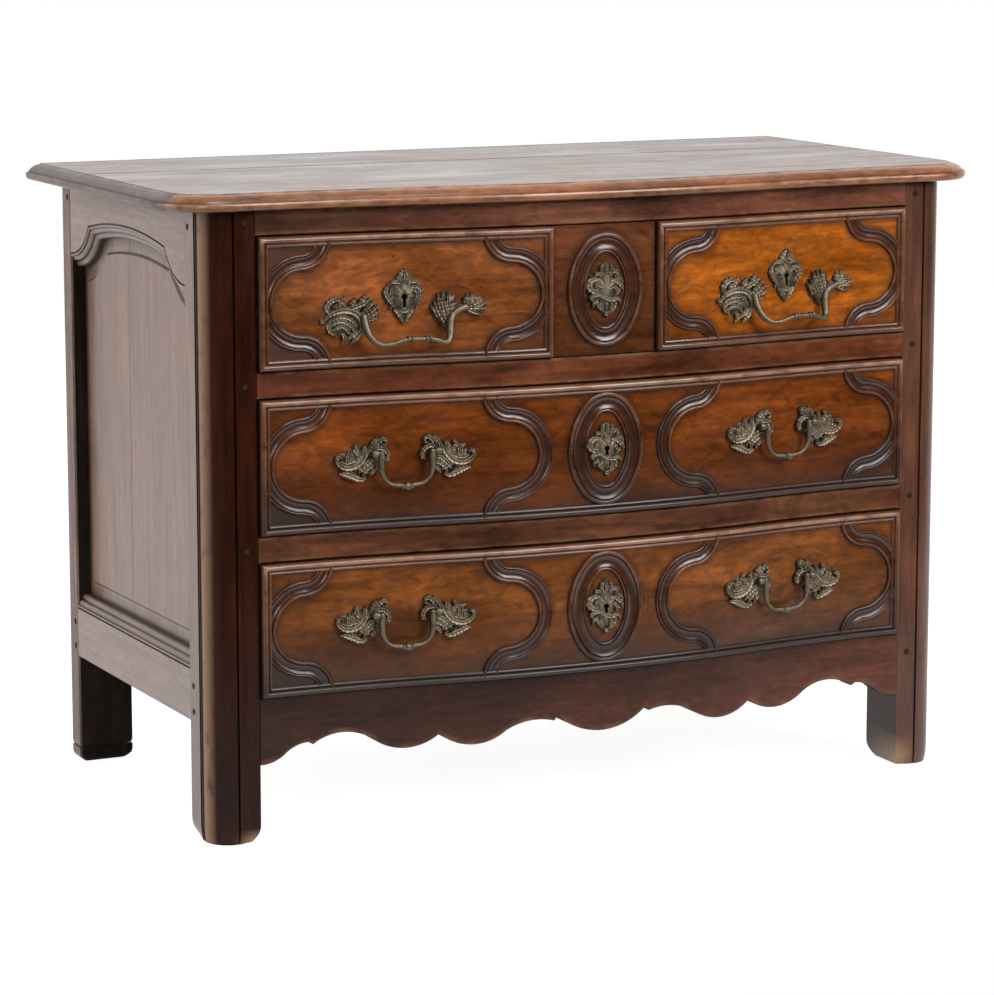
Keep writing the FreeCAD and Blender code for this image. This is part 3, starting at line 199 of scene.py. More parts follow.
def walnut(name, heart, grain, figure=0.35, cloud=0.3, worn=(0.2, 0.1, 0.05), sheen=0.15, rough=0.3,
           gloss=0.35, specks=0.3, painted_falloff=(1.0, 1.0), planing=0.25, mottle=0.1, uneven=0.07,
           broken=(0.36, 0.62)):
    """Waxed walnut whose fibres run along one axis.

    The tone is slow clouds over long streaks and small mottling, with short dark pores and worm
    holes, and the pair of shares at the left and the right of the chest paints a falloff of light
    across it. Where the mark of wear and highlight is high the tone goes to 'worn': wax rubbed
    through, and on some pieces a painted highlight. Where the mark of grime and shade is high, old
    wax and painted shade darken it and dull it. The roughness follows the clouds by 'uneven', and
    'broken' is the range over which small patches of that paler tone come in.
    """
    dark = [c * (1 - figure) for c in heart]
    pale = [c * (1 + figure) for c in heart]
    material, tree = blank(name)
    where = node(tree, "TexCoord").outputs["Object"]

    def noise(along, across, detail, distortion=0.0):
        scale = [across, across, across]
        scale["xyz".index(grain)] = along
        stretched = node(tree, "Mapping", {"Vector": where, "Scale": scale}).outputs[0]
        inputs = {"Vector": stretched, "Scale": 1.0, "Detail": detail, "Distortion": distortion}
        return node(tree, "TexNoise", inputs).outputs["Fac"]

    streaks = noise(5.0, 70.0, 7.0, 0.8)
    clouds = noise(5.0, 14.0, 4.0)
    fibres = noise(40.0, 900.0, 2.0)
    rubs = noise(35.0, 60.0, 5.0)
    ramp = node(tree, "ValToRGB", {"Fac": streaks})
    stops = ramp.color_ramp.elements
    stops[0].position, stops[0].color = 0.3, paint(dark)
    stops[1].position, stops[1].color = 0.72, paint(pale)
    stops.new(0.5).color = paint(heart)
    shade = spread(tree, clouds, 0.3, 0.7, 1 - cloud, 1 + cloud)
    # painted falloff of light: the tone is scaled from the left of the chest to the right
    sideways = node(tree, "SeparateXYZ", {0: where}).outputs["X"]
    shade = joined(tree, "MULTIPLY", shade, spread(tree, sideways, -0.5, 0.5, *painted_falloff))
    flecks = spread(tree, noise(28.0, 60.0, 5.0, 1.5), 0.34, 0.66, 1 - mottle, 1 + mottle)
    shade = joined(tree, "MULTIPLY", shade, flecks)
    tone = mixed(tree, 1.0, ramp.outputs["Color"], shade, "MULTIPLY")
    pores = spread(tree, fibres, 0.56, 0.66)
    black = paint([c * 0.18 for c in heart])
    tone = mixed(tree, spread(tree, pores, 0.0, 1.0, 0.0, 0.4), tone, black)
    cells = node(tree, "TexVoronoi", {"Vector": where, "Scale": 42.0}).outputs["Distance"]
    tone = mixed(tree, spread(tree, cells, 0.04, 0.07, specks, 0.0), tone, black)
    grime = node(tree, "Attribute", attribute_name="grime").outputs["Fac"]
    # old wax, and painted shade, where the mark of grime and shade is high
    dirt_and_shade_tone = paint([c * 0.1 for c in heart])
    tone = mixed(tree, spread(tree, grime, 0.0, 1.0, 0.0, 0.95), tone, dirt_and_shade_tone)
    # rubbed wax, and painted highlight, where the mark of wear and highlight is high
    wear = node(tree, "Attribute", attribute_name="wear").outputs["Fac"]
    shown = joined(tree, "MULTIPLY", wear, spread(tree, rubs, *broken))
    tone = mixed(tree, shown, tone, paint(worn))
    matt = spread(tree, clouds, 0.3, 0.7, rough - uneven, rough + uneven)
    dull = spread(tree, grime, 0.0, 1.0, 0.0, 0.55)
    matt = joined(tree, "MAXIMUM", matt, dull)
    height = joined(tree, "SUBTRACT", streaks, pores)
    planed = noise(4.0, 22.0, 1.0)
    bump = node(tree, "Bump", {"Strength": planing, "Distance": 0.002, "Height": planed}).outputs[0]
    bump = node(tree, "Bump", {"Strength": 0.2, "Distance": 0.0004, "Height": height, "Normal": bump})
    surfaced(
        tree,
        {
            "Base Color": tone,
            "Roughness": matt,
            "Specular IOR Level": gloss,
            "Normal": bump.outputs[0],
            "Coat Weight": sheen,
            "Coat Roughness": 0.15,
        },
    )
    return material


def post_outline(sign):
    """Plan of a front post round from its outer back corner."""
    bead = POST_ROUND + GROOVE_WIDTH
    groove = bead + BEAD + GROOVE_WIDTH
    round_start, bottom, crest = HALF - POST_ROUND, HALF - GROOVE_DEPTH, HALF - GROOVE_DEPTH / 2
    corners = [
        (HALF, POST_DEPTH),
        (OPEN, POST_DEPTH),
        (OPEN, POST_EASE, POST_EASE, 1),
        (OPEN + POST_EASE, 0.0),
        (round_start - GROOVE_WIDTH, 0.0),
        (round_start - GROOVE_WIDTH + GROOVE_SLOPE, GROOVE_DEPTH),
        (round_start - GROOVE_SLOPE, GROOVE_DEPTH),
        (round_start, 0.0, POST_ROUND, 1),
        (HALF, POST_ROUND),
        (bottom, POST_ROUND + GROOVE_SLOPE),
        (bottom, bead - BEAD_SLOPE),
        (crest, bead, BEAD * BEAD_FULL, 1),
        (crest, bead + BEAD),
        (bottom, bead + BEAD + BEAD_SLOPE),
        (bottom, groove - GROOVE_SLOPE),
        (HALF, groove),
    ]
    return chain(corners, closed=True) * [sign, 1]


def worn_foot(outline, heights, loss, reach):
    """Rows of an outline at each height, drawn in towards its middle near the floor.

    The share drawn in is loss * (1 - height / reach)^2 * far^4, where 'far' is how far out a point
    lies, so it is more at the corners than along the faces.
    """
    middle = (outline.max(0) + outline.min(0)) / 2
    ray = outline - middle
    far = np.hypot(*(ray / (np.ptp(outline, axis=0) / 2)).T)
    drawn = loss * np.clip(1 - heights / reach, 0, 1)[:, None] ** 2 * far**4
    plan = middle + ray * (1 - drawn[..., None])
    lift = np.broadcast_to(heights[:, None, None], (*drawn.shape, 1))
    return np.concatenate([plan, lift], -1)


# bare wood at the feet, and also the colour of the painted highlight down the rounds
BARE = (0.32, 0.185, 0.105)
# the right post is a lighter copy of the left post's walnut: painted light on the right post
POST_WALNUT = {
    "left": walnut("left_post_walnut", (0.028, 0.006, 0.002), "z", figure=0.5, worn=BARE, sheen=0.0,
                   gloss=0.15, broken=(0.1, 0.45)),
    "right": walnut("right_post_walnut", (0.08, 0.03, 0.015), "z", worn=BARE, sheen=0.05, gloss=0.35,
                    broken=(0.1, 0.45)),
}
SIDE_TONES = {"y": (0.195, 0.122, 0.096), "z": (0.18, 0.103, 0.074)}
SIDE_WALNUT = {
    grain: walnut("side_walnut_" + grain, tone, grain, figure=0.25, cloud=0.2, sheen=0.25, rough=0.36,
                  gloss=0.4)
    for grain, tone in SIDE_TONES.items()
}
FOOT_LOSS, FOOT_REACH = 0.07, 24.0
WORN_UP = {"left": 14.0, "right": 36.0}  # bare wood at the inner corner of the feet
WORN_ACROSS, WORN_BACK = 22.0, 26.0  # how far it spreads over both faces
ROUND_HIGHLIGHT, ROUND_HIGHLIGHT_WIDTH = 0.8, 9.0  # painted highlight along the outer side of the round
FLOOR_SHADE = {"left": 0.55, "right": 0.0}  # painted shade, darker towards the floor
FLOOR_SHADE_HEIGHTS = (60.0, 640.0)  # from its full share to none
INNER_SHADE = 0.8  # painted shade on the faces towards the drawers
NEAR = 0.1  # slack when a point is told by its place
heights = np.array([0, 1.5, 4, 8, 13, 20, 28, 38, 50, 70, 110, 200, 400, 640, CARCASS_TOP])
for side, sign in SIDES.items():
    outline = post_outline(sign)
    out, deep = np.abs(outline[:, 0]), outline[:, 1]
    rows = worn_foot(outline, heights, FOOT_LOSS, FOOT_REACH)
    rows[..., 1] += FACE
    corner = np.exp(-(((out - OPEN) / WORN_ACROSS) ** 2) - (deep / WORN_BACK) ** 2)
    knocked = corner * np.clip(1.3 - heights / WORN_UP[side], 0, 1)[:, None]
    # painted highlight down the outer side of the round
    round_highlight = ROUND_HIGHLIGHT * np.clip((out - HALF) / ROUND_HIGHLIGHT_WIDTH + 1, 0, 1) * (deep < POST_ROUND)
    front_groove = (out < HALF - POST_ROUND) & (deep < GROOVE_DEPTH + NEAR)
    side_groove = (deep > POST_ROUND - NEAR) & (out > HALF - GROOVE_DEPTH - NEAR)
    inner_face = (out < OPEN + 3 * NEAR) & (deep > POST_EASE * 0.75)
    # painted shade in the grooves, on the inner faces and, on the left post, towards the floor
    shade_and_soil = np.where(front_groove, np.clip(deep / GROOVE_DEPTH, 0, 1), 0)
    shade_and_soil = np.maximum(shade_and_soil, np.where(side_groove, (HALF - out) / GROOVE_DEPTH, 0))
    shade_and_soil = np.maximum(shade_and_soil, INNER_SHADE * inner_face)
    shade_and_soil = np.maximum(shade_and_soil, np.interp(heights, FLOOR_SHADE_HEIGHTS, [FLOOR_SHADE[side], 0])[:, None])
    side_face = np.arange(len(outline)) == len(outline) - 1
    post = sheet(rows, wrap=True, capped=True, finish=side_face.astype(int),
                 wear=np.maximum(knocked, round_highlight), grime=np.clip(shade_and_soil - knocked, 0, 1))
    piece(f"front_post_{side}", [post], [POST_WALNUT[side], SIDE_WALNUT["z"]], "carcass", "walnut",
          f"post_front_{side}")

# Rear posts
# Flat planks set across the back corners, plain on every face. The left one stands on a spliced
# block where the old end was cut away.

REAR_POST = 544.0  # post face to the rear posts
REAR_END = 580.0
REAR_WIDTH = 82.0
REAR_EASE = 2.5
REAR_LOSS, REAR_REACH = 0.05, 16.0
SPLICE, SPLICE_GAP, SPLICE_EASE = 22.0, 0.4, 0.8
BLOCK_LOSS, BLOCK_REACH, BLOCK_EASE = 0.08, 12.0, 0.01
BLOCK_HEIGHTS = np.array([0, 1.5, 4, 8, 13, SPLICE - SPLICE_EASE, SPLICE])
SHADED_FACES = np.array([0, 0, 1, 1, 0, 0])  # faces that look into the chest or to its front, given the darker copy as painted shade
REAR_WALNUT = walnut("rear_post_walnut", (0.14, 0.084, 0.064), "z", worn=BARE, sheen=0.1, gloss=0.1)
# darker copy of the rear post's walnut, painted shade on its inner and front faces
REAR_SHADE = walnut("rear_post_shade", (0.024, 0.016, 0.011), "z", sheen=0.0, rough=0.6, gloss=0.05)
corners = [
    (HALF, REAR_END - REAR_EASE),
    (HALF - REAR_EASE, REAR_END),
    (HALF - REAR_WIDTH, REAR_END),
    (HALF - REAR_WIDTH, REAR_POST),
    (HALF - REAR_EASE, REAR_POST),
    (HALF, REAR_POST + REAR_EASE),
]
for side, sign in SIDES.items():
    outline = chain(corners, closed=True) * [sign, 1]
    spliced = side == "left"
    low = SPLICE + SPLICE_GAP if spliced else 0.0
    above = np.concatenate([[low, low + SPLICE_EASE], heights[heights > low + 2]]) if spliced else heights
    rows = worn_foot(outline, above - low, REAR_LOSS, 2 * SPLICE_EASE if spliced else REAR_REACH)
    rows += [0, FACE, low]
    sheets = [sheet(rows, wrap=True, capped=True, finish=SHADED_FACES)]
    if spliced:
        block = worn_foot(outline, BLOCK_HEIGHTS, BLOCK_LOSS, BLOCK_REACH) + [0, FACE, 0]
        block[-1, :, :2] += (block[-1, :, :2].mean(0) - block[-1, :, :2]) * BLOCK_EASE
        sheets.append(sheet(block, wrap=True, capped=True, finish=SHADED_FACES, grime=0.4))
    piece(f"rear_post_{side}", sheets, [REAR_WALNUT, REAR_SHADE], "carcass", "walnut", f"post_rear_{side}")

# Front rails
# Three walnut bars between the posts, their faces sawn to the crossbow of the front. They part the
# rows of drawers, and the uppermost carries the top.

BOW = 36.0
BOW_RADIUS = ((OPEN / 2) ** 2 + (BOW / 2) ** 2) / BOW
RAIL_DEPTH, RAIL_EASE = 46.0, 1.6
FRONT_STEPS = 121


def swell(x):
    """Crossbow in plan: a hollow arc from each post to half way, and one swelling arc between."""
    x = np.minimum(np.abs(x), OPEN)
    hollow = BOW_RADIUS - np.sqrt(BOW_RADIUS**2 - (OPEN - x) ** 2)
    belly = BOW - BOW_RADIUS + np.sqrt(BOW_RADIUS**2 - x**2)
    return np.where(x > OPEN / 2, hollow, belly)


def bowed(along, section):
    """Section points (depth behind the crossbow face, height) carried along the front."""
    x = np.broadcast_to(along[:, None], (len(along), len(section)))
    y = FACE - swell(x) + section[:, 0]
    return np.stack([x, y, np.broadcast_to(section[:, 1], x.shape)], -1)


# Lower and upper edge and tone of each rail, the top rail's lighter tone painted light where the top
# shades it
RAILS = {
    "front_top_rail": (832.0, CARCASS_TOP, (0.115, 0.036, 0.017)),
    "front_upper_rail": (612.0, 648.0, (0.085, 0.021, 0.006)),
    "front_lower_rail": (388.0, 424.0, (0.08, 0.025, 0.009)),
}
RAIL_WEAR = np.array([0.3, 0.7, 0, 0, 0.7, 0.3, 0, 0])
RAIL_DIRT = np.array([0.6, 0, 0.1, 0.1, 0, 0.6, 0, 0])
for name, (low, high, tone) in RAILS.items():
    # with a painted falloff of light from the left of the chest to the right
    finish = walnut(name + "_walnut", tone, "x", figure=0.45, cloud=0.5, painted_falloff=(0.9, 1.35), mottle=0.25)
    section = np.array(
        [
            (RAIL_EASE, low),
            (0, low + RAIL_EASE),
            (0, low + 4 * RAIL_EASE),
            (0, high - 4 * RAIL_EASE),
            (0, high - RAIL_EASE),
            (RAIL_EASE, high),
            (RAIL_DEPTH, high),
            (RAIL_DEPTH, low),
        ]
    )
    rows = bowed(np.linspace(-OPEN, OPEN, FRONT_STEPS), section)
    rows[:, 6:, 1] = FACE + RAIL_DEPTH  # the back is straight
    rail = sheet(rows, wrap=True, capped=True, wear=RAIL_WEAR, grime=RAIL_DIRT)
    piece(name + "_bar", [rail], [finish], "carcass", "walnut", name)

# Apron
# A thin walnut board under the lowest drawer, sawn along its lower edge to lobes and arches that
# meet in points, and bowed as the rails are.

APRON_TOP = 200.0
APRON_THICKNESS, APRON_EASE = 26.0, 1.8
ARCH, LOBE, CUSP, NICK, FOOT = 140.0, 114.0, 130.0, 4.0, 108.0
SWAY = (ARCH + LOBE) / 2
# Right half of the lower edge from the middle: corner, and radius and bend of the next arc
SCALLOPS = [
    (0, LOBE, 0.208 * OPEN, 1),
    (0.137 * OPEN, ARCH + 1),
    (0.149 * OPEN, ARCH - 1.3 * NICK, 0.19 * OPEN, -1),
    (0.292 * OPEN, SWAY, 0.153 * OPEN, 1),
    (0.486 * OPEN, CUSP, 0.153 * OPEN, 1),
    (0.667 * OPEN, SWAY, 0.153 * OPEN, -1),
    (0.847 * OPEN, CUSP),
    (0.861 * OPEN, CUSP + NICK, 0.111 * OPEN, -1),
    (0.931 * OPEN, (CUSP + FOOT) / 2, 0.111 * OPEN, 1),
    (OPEN, FOOT),
]
# The apron's tone has a strong painted falloff of light from left to right, and its underside and back
# take a near-black copy as painted shade.
APRON_WALNUT = walnut("apron_walnut", (0.045, 0.014, 0.007), "x", figure=0.3, cloud=0.4, sheen=0.05,
                      gloss=0.2, painted_falloff=(0.5, 1.8), mottle=0.2)
APRON_SHADE = walnut("apron_underside_shade", (0.024, 0.016, 0.011), "x", sheen=0.0, rough=0.7, gloss=0.05)
right = chain(SCALLOPS, turn=0.05)
edge = np.concatenate([right[:0:-1] * [-1, 1], right])
x, low = edge[:, 0], edge[:, 1]
face = FACE - swell(x)
back = np.full_like(x, FACE + APRON_THICKNESS)
high = np.full_like(x, APRON_TOP)
columns = [
    (face, high),
    (face, low + 5 * APRON_EASE),
    (face, low + APRON_EASE),
    (face + APRON_EASE, low),
    (back, low),
    (back, high),
]
rows = np.stack([np.stack([x, y, z], 1) for y, z in columns], 1)
# darker marks on the underside and back are painted shade
apron = sheet(rows, wrap=True, capped=True, finish=np.array([0, 0, 0, 1, 1, 1]),
              wear=np.array([0, 0, 0.5, 0.2, 0, 0]), grime=np.array([0.2, 0, 0, 0.4, 0.6, 0.6]))
piece("scalloped_apron", [apron], [APRON_WALNUT, APRON_SHADE], "carcass", "walnut", "front_apron")

# Side frames
# An arched rail above and a flat rail below, both moulded towards the panel and tenoned into the
# posts. The arch rises from each post to a point, and swells in one low curve between the points.

SIDE_MID = (POST_DEPTH + REAR_POST) / 2
SIDE_HALF = (REAR_POST - POST_DEPTH) / 2
SIDE_THICKNESS = 34.0
ARCH_APEX, ARCH_CUSP, ARCH_SPRING, ARCH_HALF = 816.0, 802.0, 757.0, 152.0
SIDE_BOTTOM, SIDE_FLAT, SIDE_MOULDING, SIDE_EASE = 161.0, 78.0, 16.0, 1.5


def side_arch():
    """Arched edge from the rear post to the front post: place back from the post face, and height.

    Its middle arc has the radius (half^2 + rise^2) / (2 * rise), and the hollow ones at both ends are
    found in the same way from their run and fall.
    """
    rise = ARCH_APEX - ARCH_CUSP
    fall = ARCH_CUSP - ARCH_SPRING
    run = SIDE_HALF - ARCH_HALF
    crown = (ARCH_HALF**2 + rise**2) / (2 * rise)
    sweep = (run**2 + fall**2) / (2 * fall)
    corners = [
        (SIDE_MID + SIDE_HALF, ARCH_SPRING, sweep, -1),
        (SIDE_MID + ARCH_HALF, ARCH_CUSP, crown, 1),
        (SIDE_MID - ARCH_HALF, ARCH_CUSP, sweep, -1),
        (SIDE_MID - SIDE_HALF, ARCH_SPRING),
    ]
    return chain(corners, turn=0.03)


def mitred(line):
    """Direction square to a line at each point, longer at a corner so that offsets stay parallel."""
    step = np.diff(line, axis=0)
    square = np.stack([-step[:, 1], step[:, 0]], 1) / np.hypot(*step.T)[:, None]
    before, after = np.concatenate([square[:1], square]), np.concatenate([square, square[-1:]])
    return (before + after) / (1 + (before * after).sum(1))[:, None]


# Moulding from the frame's face down to the panel: drop below the edge, and depth behind the face
SIDE_PROFILE = np.array(
    [(-5.6, 0.0), (-4.8, 3.0), (-3.4, 3.0), (-2.6, 0.0), (-1.6, 0.0), (-0.4, 0.5), (0.0, 1.6), (0.3, 2.6),
     (2.4, 3.0), (4.6, 3.6), (6.2, 4.8), (7.0, 6.6), (7.4, 8.4), (8.0, 8.8), (10.5, 8.6), (12.6, 9.2),
     (14.2, 10.4), (15.4, 12.4), (16.0, 15.0), (16.0, 24.0)]
)
# painted shade in the quirks and hollows of the moulding
SIDE_MOULDING_SHADE = np.array([0, 1, 1, 0, 0, 0.2, 0.9, 1, 0.5, 0, 0, 0.4, 1, 0.9, 0.3, 0, 0.1, 0.4, 1, 1])
arch = side_arch()
arch_square = mitred(arch)
drop, depth = SIDE_PROFILE.T
inner = HALF - SIDE_THICKNESS
for side, sign in SIDES.items():
    moulded = arch[:, None] + arch_square[:, None] * np.append(drop, SIDE_MOULDING)[:, None]
    tops = np.repeat(np.stack([arch[:, 0], np.full(len(arch), CARCASS_TOP)], 1)[:, None], 2, 1)
    flat = np.concatenate([tops, moulded], 1)
    x = np.broadcast_to(sign * np.concatenate([[inner, HALF], HALF - depth, [inner]]), flat.shape[:2])
    rows = np.concatenate([x[..., None], flat + [FACE, 0]], -1)
    top_rail = sheet(rows, wrap=True, capped=True, grime=np.concatenate([[0, 0], SIDE_MOULDING_SHADE, [0]]))
    piece(f"side_arch_{side}", [top_rail], [SIDE_WALNUT["y"]], "carcass", "walnut",
          f"side_top_rail_{side}")

    edge = SIDE_BOTTOM + SIDE_FLAT
    x = np.concatenate([[inner, HALF - SIDE_EASE, HALF], HALF - depth, [inner]])
    z = np.concatenate([SIDE_BOTTOM + np.array([0, 0, SIDE_EASE]), edge + drop, [edge + SIDE_MOULDING]])
    y = np.linspace(POST_DEPTH, REAR_POST, 12)[:, None] + FACE
    rows = np.stack(np.broadcast_arrays(sign * x, y, z), -1)
    low_rail = sheet(rows, wrap=True, capped=True, grime=np.concatenate([[0, 0, 0], SIDE_MOULDING_SHADE, [0]]))
    piece(f"side_rail_{side}", [low_rail], [SIDE_WALNUT["y"]], "carcass", "walnut",
          f"side_bottom_rail_{side}")

# Side panels
# Two upright boards glued edge to edge, with a sunk margin planed round the raised field. They
# float in grooves of the frame.

PANEL_SETBACK = 18.0
PANEL_SUNK = 3.0
PANEL_MARGIN, PANEL_SLOPE = 20.0, 3.0
PANEL_SPLIT = POST_DEPTH + 270.0
PANEL_THICKNESS = 14.0
PANEL_EASE = 0.6  # of the boards' edges at their joint
MARGINS = np.array([0, PANEL_EASE, PANEL_MARGIN - 2, PANEL_MARGIN, PANEL_MARGIN + PANEL_SLOPE])
PANEL_EDGE_SHADE, PANEL_EDGE_SHADE_WIDTH, MARGIN_LINE_SHADE = 0.8, 6.0, 0.9  # painted shade at the frame, and a painted shadow line along the margin's step


def under_arch(y, drop):
    """Height at each depth of the line that runs a drop below the arch, square to it."""
    line = (arch + arch_square * drop)[::-1]
    return np.interp(y, line[:, 0], line[:, 1])


panel_low = SIDE_BOTTOM + SIDE_FLAT + SIDE_MOULDING
share = np.linspace(0, 1, 8)[1:-1]
inset = np.concatenate([MARGINS, np.full(len(share), MARGINS[-1]), MARGINS[::-1]])
for side, sign in SIDES.items():
    sheets = []
    for start, end in ((POST_DEPTH, PANEL_SPLIT), (PANEL_SPLIT, REAR_POST)):
        head = start + MARGINS if start == POST_DEPTH else start + MARGINS[:2]
        tail = end - MARGINS[::-1] if end == REAR_POST else end - MARGINS[1::-1]
        y = np.concatenate([head, np.linspace(head[-1], tail[0], 40)[1:-1], tail])
        over = np.stack([under_arch(y, SIDE_MOULDING + margin) for margin in MARGINS[::-1]], 1)
        feet = np.broadcast_to(panel_low + MARGINS, (len(y), len(MARGINS)))
        body = feet[:, -1:] + share * (over[:, :1] - feet[:, -1:])
        z = np.concatenate([feet, body, over], 1)
        near = np.minimum(inset, np.minimum(y - POST_DEPTH, REAR_POST - y)[:, None])
        sunk = PANEL_SUNK * (1 - np.clip((near - PANEL_MARGIN) / PANEL_SLOPE, 0, 1))
        joint = PANEL_EASE - np.minimum(np.abs(y - PANEL_SPLIT), PANEL_EASE)[:, None]
        x = sign * (HALF - PANEL_SETBACK - sunk - joint * 2)
        # painted shade by the frame and along the margin's step, and the dark glued joint
        shade_and_soil = np.clip(1 - near / PANEL_EDGE_SHADE_WIDTH, 0, 1) * PANEL_EDGE_SHADE + joint
        shade_and_soil += MARGIN_LINE_SHADE * (np.abs(near - PANEL_MARGIN) < 0.5)
        front = np.stack([x, np.broadcast_to(y[:, None] + FACE, x.shape), z], -1)
        behind = front.copy()
        behind[..., 0] = sign * (HALF - PANEL_SETBACK - PANEL_THICKNESS + 1)
        sheets.append(sheet(front, facing=(sign, 0, 0), grime=shade_and_soil))
        sheets.append(sheet(behind, facing=(-sign, 0, 0), grime=0.2))
    piece(f"side_boards_{side}", sheets, [SIDE_WALNUT["z"]], "carcass", "walnut", f"side_panel_{side}")

# Joint pegs
# Round pegs driven through each tenon, and some down through the top. Their ends are left a little
# proud of the walnut and are dark with old wax.

PEG_RADIUS = 4.5
PEG_WOOD = walnut("peg_wood", (0.04, 0.018, 0.01), "y", sheen=0.0, rough=0.6, gloss=0.1)
FRONT_PEG_X = OPEN + 17.0
FRONT_PEG_Z = (849.5, 630.0, 406.0, 172.0)
SIDE_PEGS = [(y, z) for y in (POST_DEPTH - 12.0, REAR_POST + 12.0) for z in (841.5, 212.0, 176.0)]
FRONT_PROUD, SIDE_PROUD = 0.8, 0.6
# Pegs through the top into the posts and rails, across and back from the post face
TOP_PEGS = ((-573, 357), (-537, 300), (-381, 474), (-268, 459), (540, 342), (274, 60), (-300, 60),
            (560, 480), (0, 60))
TOP_PEG_ACROSS, TOP_PEG_BACK, TOP_PEG_SUNK = 1.3, 0.9, 1.0
TOP_THICKNESS = 23.0
turns = np.linspace(0, 2 * np.pi, 25)[:-1]
rings = np.array([(1.0, -2.0), (1.0, 0.2), (0.86, 0.5), (0.45, 0.62), (0.05, 0.65)])
across = PEG_RADIUS * rings[:, None, 0] * np.cos(turns)
upright = PEG_RADIUS * rings[:, None, 0] * np.sin(turns)
proud = np.broadcast_to(rings[:, None, 1], across.shape)
ring_dirt = np.array([1, 1, 0.7, 0.2, 0.1])[:, None]
domes = []
for sign in SIDES.values():
    for z in FRONT_PEG_Z:
        domes.append((sign * FRONT_PEG_X + across, FACE - proud * FRONT_PROUD, z + upright))
    for y, z in SIDE_PEGS:
        domes.append((sign * (HALF + np.minimum(proud, SIDE_PROUD)), FACE + y + across, z + upright))
for x, y in TOP_PEGS:
    domes.append((x + across * TOP_PEG_ACROSS, FACE + y + upright * TOP_PEG_BACK,
                  CARCASS_TOP + TOP_THICKNESS - TOP_PEG_SUNK + proud))
sheets = [sheet(np.stack(dome, -1), wrap=True, capped=True, grime=ring_dirt) for dome in domes]
piece("peg_ends", sheets, [PEG_WOOD], "carcass", "walnut", "joint_pegs")

# Inner carcass
# Rough-sawn boards of a paler wood close the back and the bottom, and runners, guides and two
# partitions carry the drawers. They were never waxed.

INNER_WOOD = {
    grain: walnut("inner_wood_" + grain, (0.27, 0.17, 0.095), grain, sheen=0.0, rough=0.72, gloss=0.2)
    for grain in "xyz"
}
CARRIED = {
    "back_top_rail": "x",
    "back_bottom_rail": "x",
    "bottom_boards": "x",
    "drawer_runners": "y",
    "divider_left": "y",
    "divider_right": "y",
}


def refinish(name, finish):
    """Put one finish on every slot of a carried node."""
    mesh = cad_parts[name].data
    mesh.materials.clear()
    mesh.materials.append(finish)


for name, grain in CARRIED.items():
    refinish(name, INNER_WOOD[grain])

# Back boards
# Six sawn boards of the same pale wood, never planed, with eased edges. Two iron nails at each end
# hold a board to the back rails.

BACK_HALF = HALF - REAR_WIDTH
BACK_FRONT, BACK_END, BACK_LOW = REAR_POST + 22.0, REAR_POST + 34.0, 130.0
BACK_EASE, BACK_STAIN = 2.0, 16.0
BACK_JOINTS = (0.0, 0.15, 0.34, 0.5, 0.68, 0.83, 1.0)
NAIL_INSET, NAIL_HEAD = 30.0, 0.8
NAIL_LEVELS = (165.0, 832.0)
BACK_TONES = {"pale": (0.27, 0.17, 0.095), "brown": (0.19, 0.112, 0.06), "grey": (0.225, 0.15, 0.092)}
BACK_WOODS = [
    walnut(f"back_wood_{name}", tone, "z", figure=0.45, cloud=0.4, sheen=0.0, rough=0.75, gloss=0.15,
           specks=0.8, mottle=0.2)
    for name, tone in BACK_TONES.items()
]
NAILED = len(BACK_WOODS)
IRON, tree = blank("old_iron")
where = node(tree, "TexCoord").outputs["Object"]
rust = node(tree, "TexNoise", {"Vector": where, "Scale": 160.0, "Detail": 6.0}).outputs["Fac"]
tone = mixed(tree, spread(tree, rust, 0.4, 0.65), paint((0.05, 0.045, 0.042)), paint((0.13, 0.06, 0.03)))
rough = spread(tree, rust, 0.3, 0.7, 0.4, 0.75)
scale = node(tree, "Bump", {"Strength": 0.3, "Distance": 0.0005, "Height": rust}).outputs[0]
surfaced(tree, {"Base Color": tone, "Roughness": rough, "Normal": scale, "Metallic": 0.8})
joints = (2 * np.array(BACK_JOINTS) - 1) * BACK_HALF
stain = np.array([0.2, 0.2, 1, 0.4, 0, 0, 0.4, 1])
sheets = []
for number, (left, right) in enumerate(zip(joints, joints[1:])):
    plan = [
        (left, BACK_FRONT),
        (right, BACK_FRONT),
        (right, BACK_END - BACK_EASE),
        (right - BACK_EASE, BACK_END),
        (right - BACK_STAIN, BACK_END),
        (left + BACK_STAIN, BACK_END),
        (left + BACK_EASE, BACK_END),
        (left, BACK_END - BACK_EASE),
    ]
    x, y = np.array(plan).T
    rows = np.stack(np.broadcast_arrays(x, FACE + y, np.array([[BACK_LOW], [CARCASS_TOP]])), -1)
    sheets.append(sheet(rows, wrap=True, capped=True, finish=number % NAILED, grime=stain))
    for x in (left + NAIL_INSET, right - NAIL_INSET):
        for z in NAIL_LEVELS:
            head = np.stack([x + NAIL_HEAD * across, FACE + BACK_END + proud, z + NAIL_HEAD * upright], -1)
            sheets.append(sheet(head, wrap=True, capped=True, finish=NAILED))
piece("nailed_back", sheets, [*BACK_WOODS, IRON], "carcass", "inner_wood", "back_boards")

# Top
# Two wide walnut boards joined edge to edge, the front one bowed with the drawers. An ovolo, a quirk
# and a rounded nose run along the front and both ends, and the back edge is square.

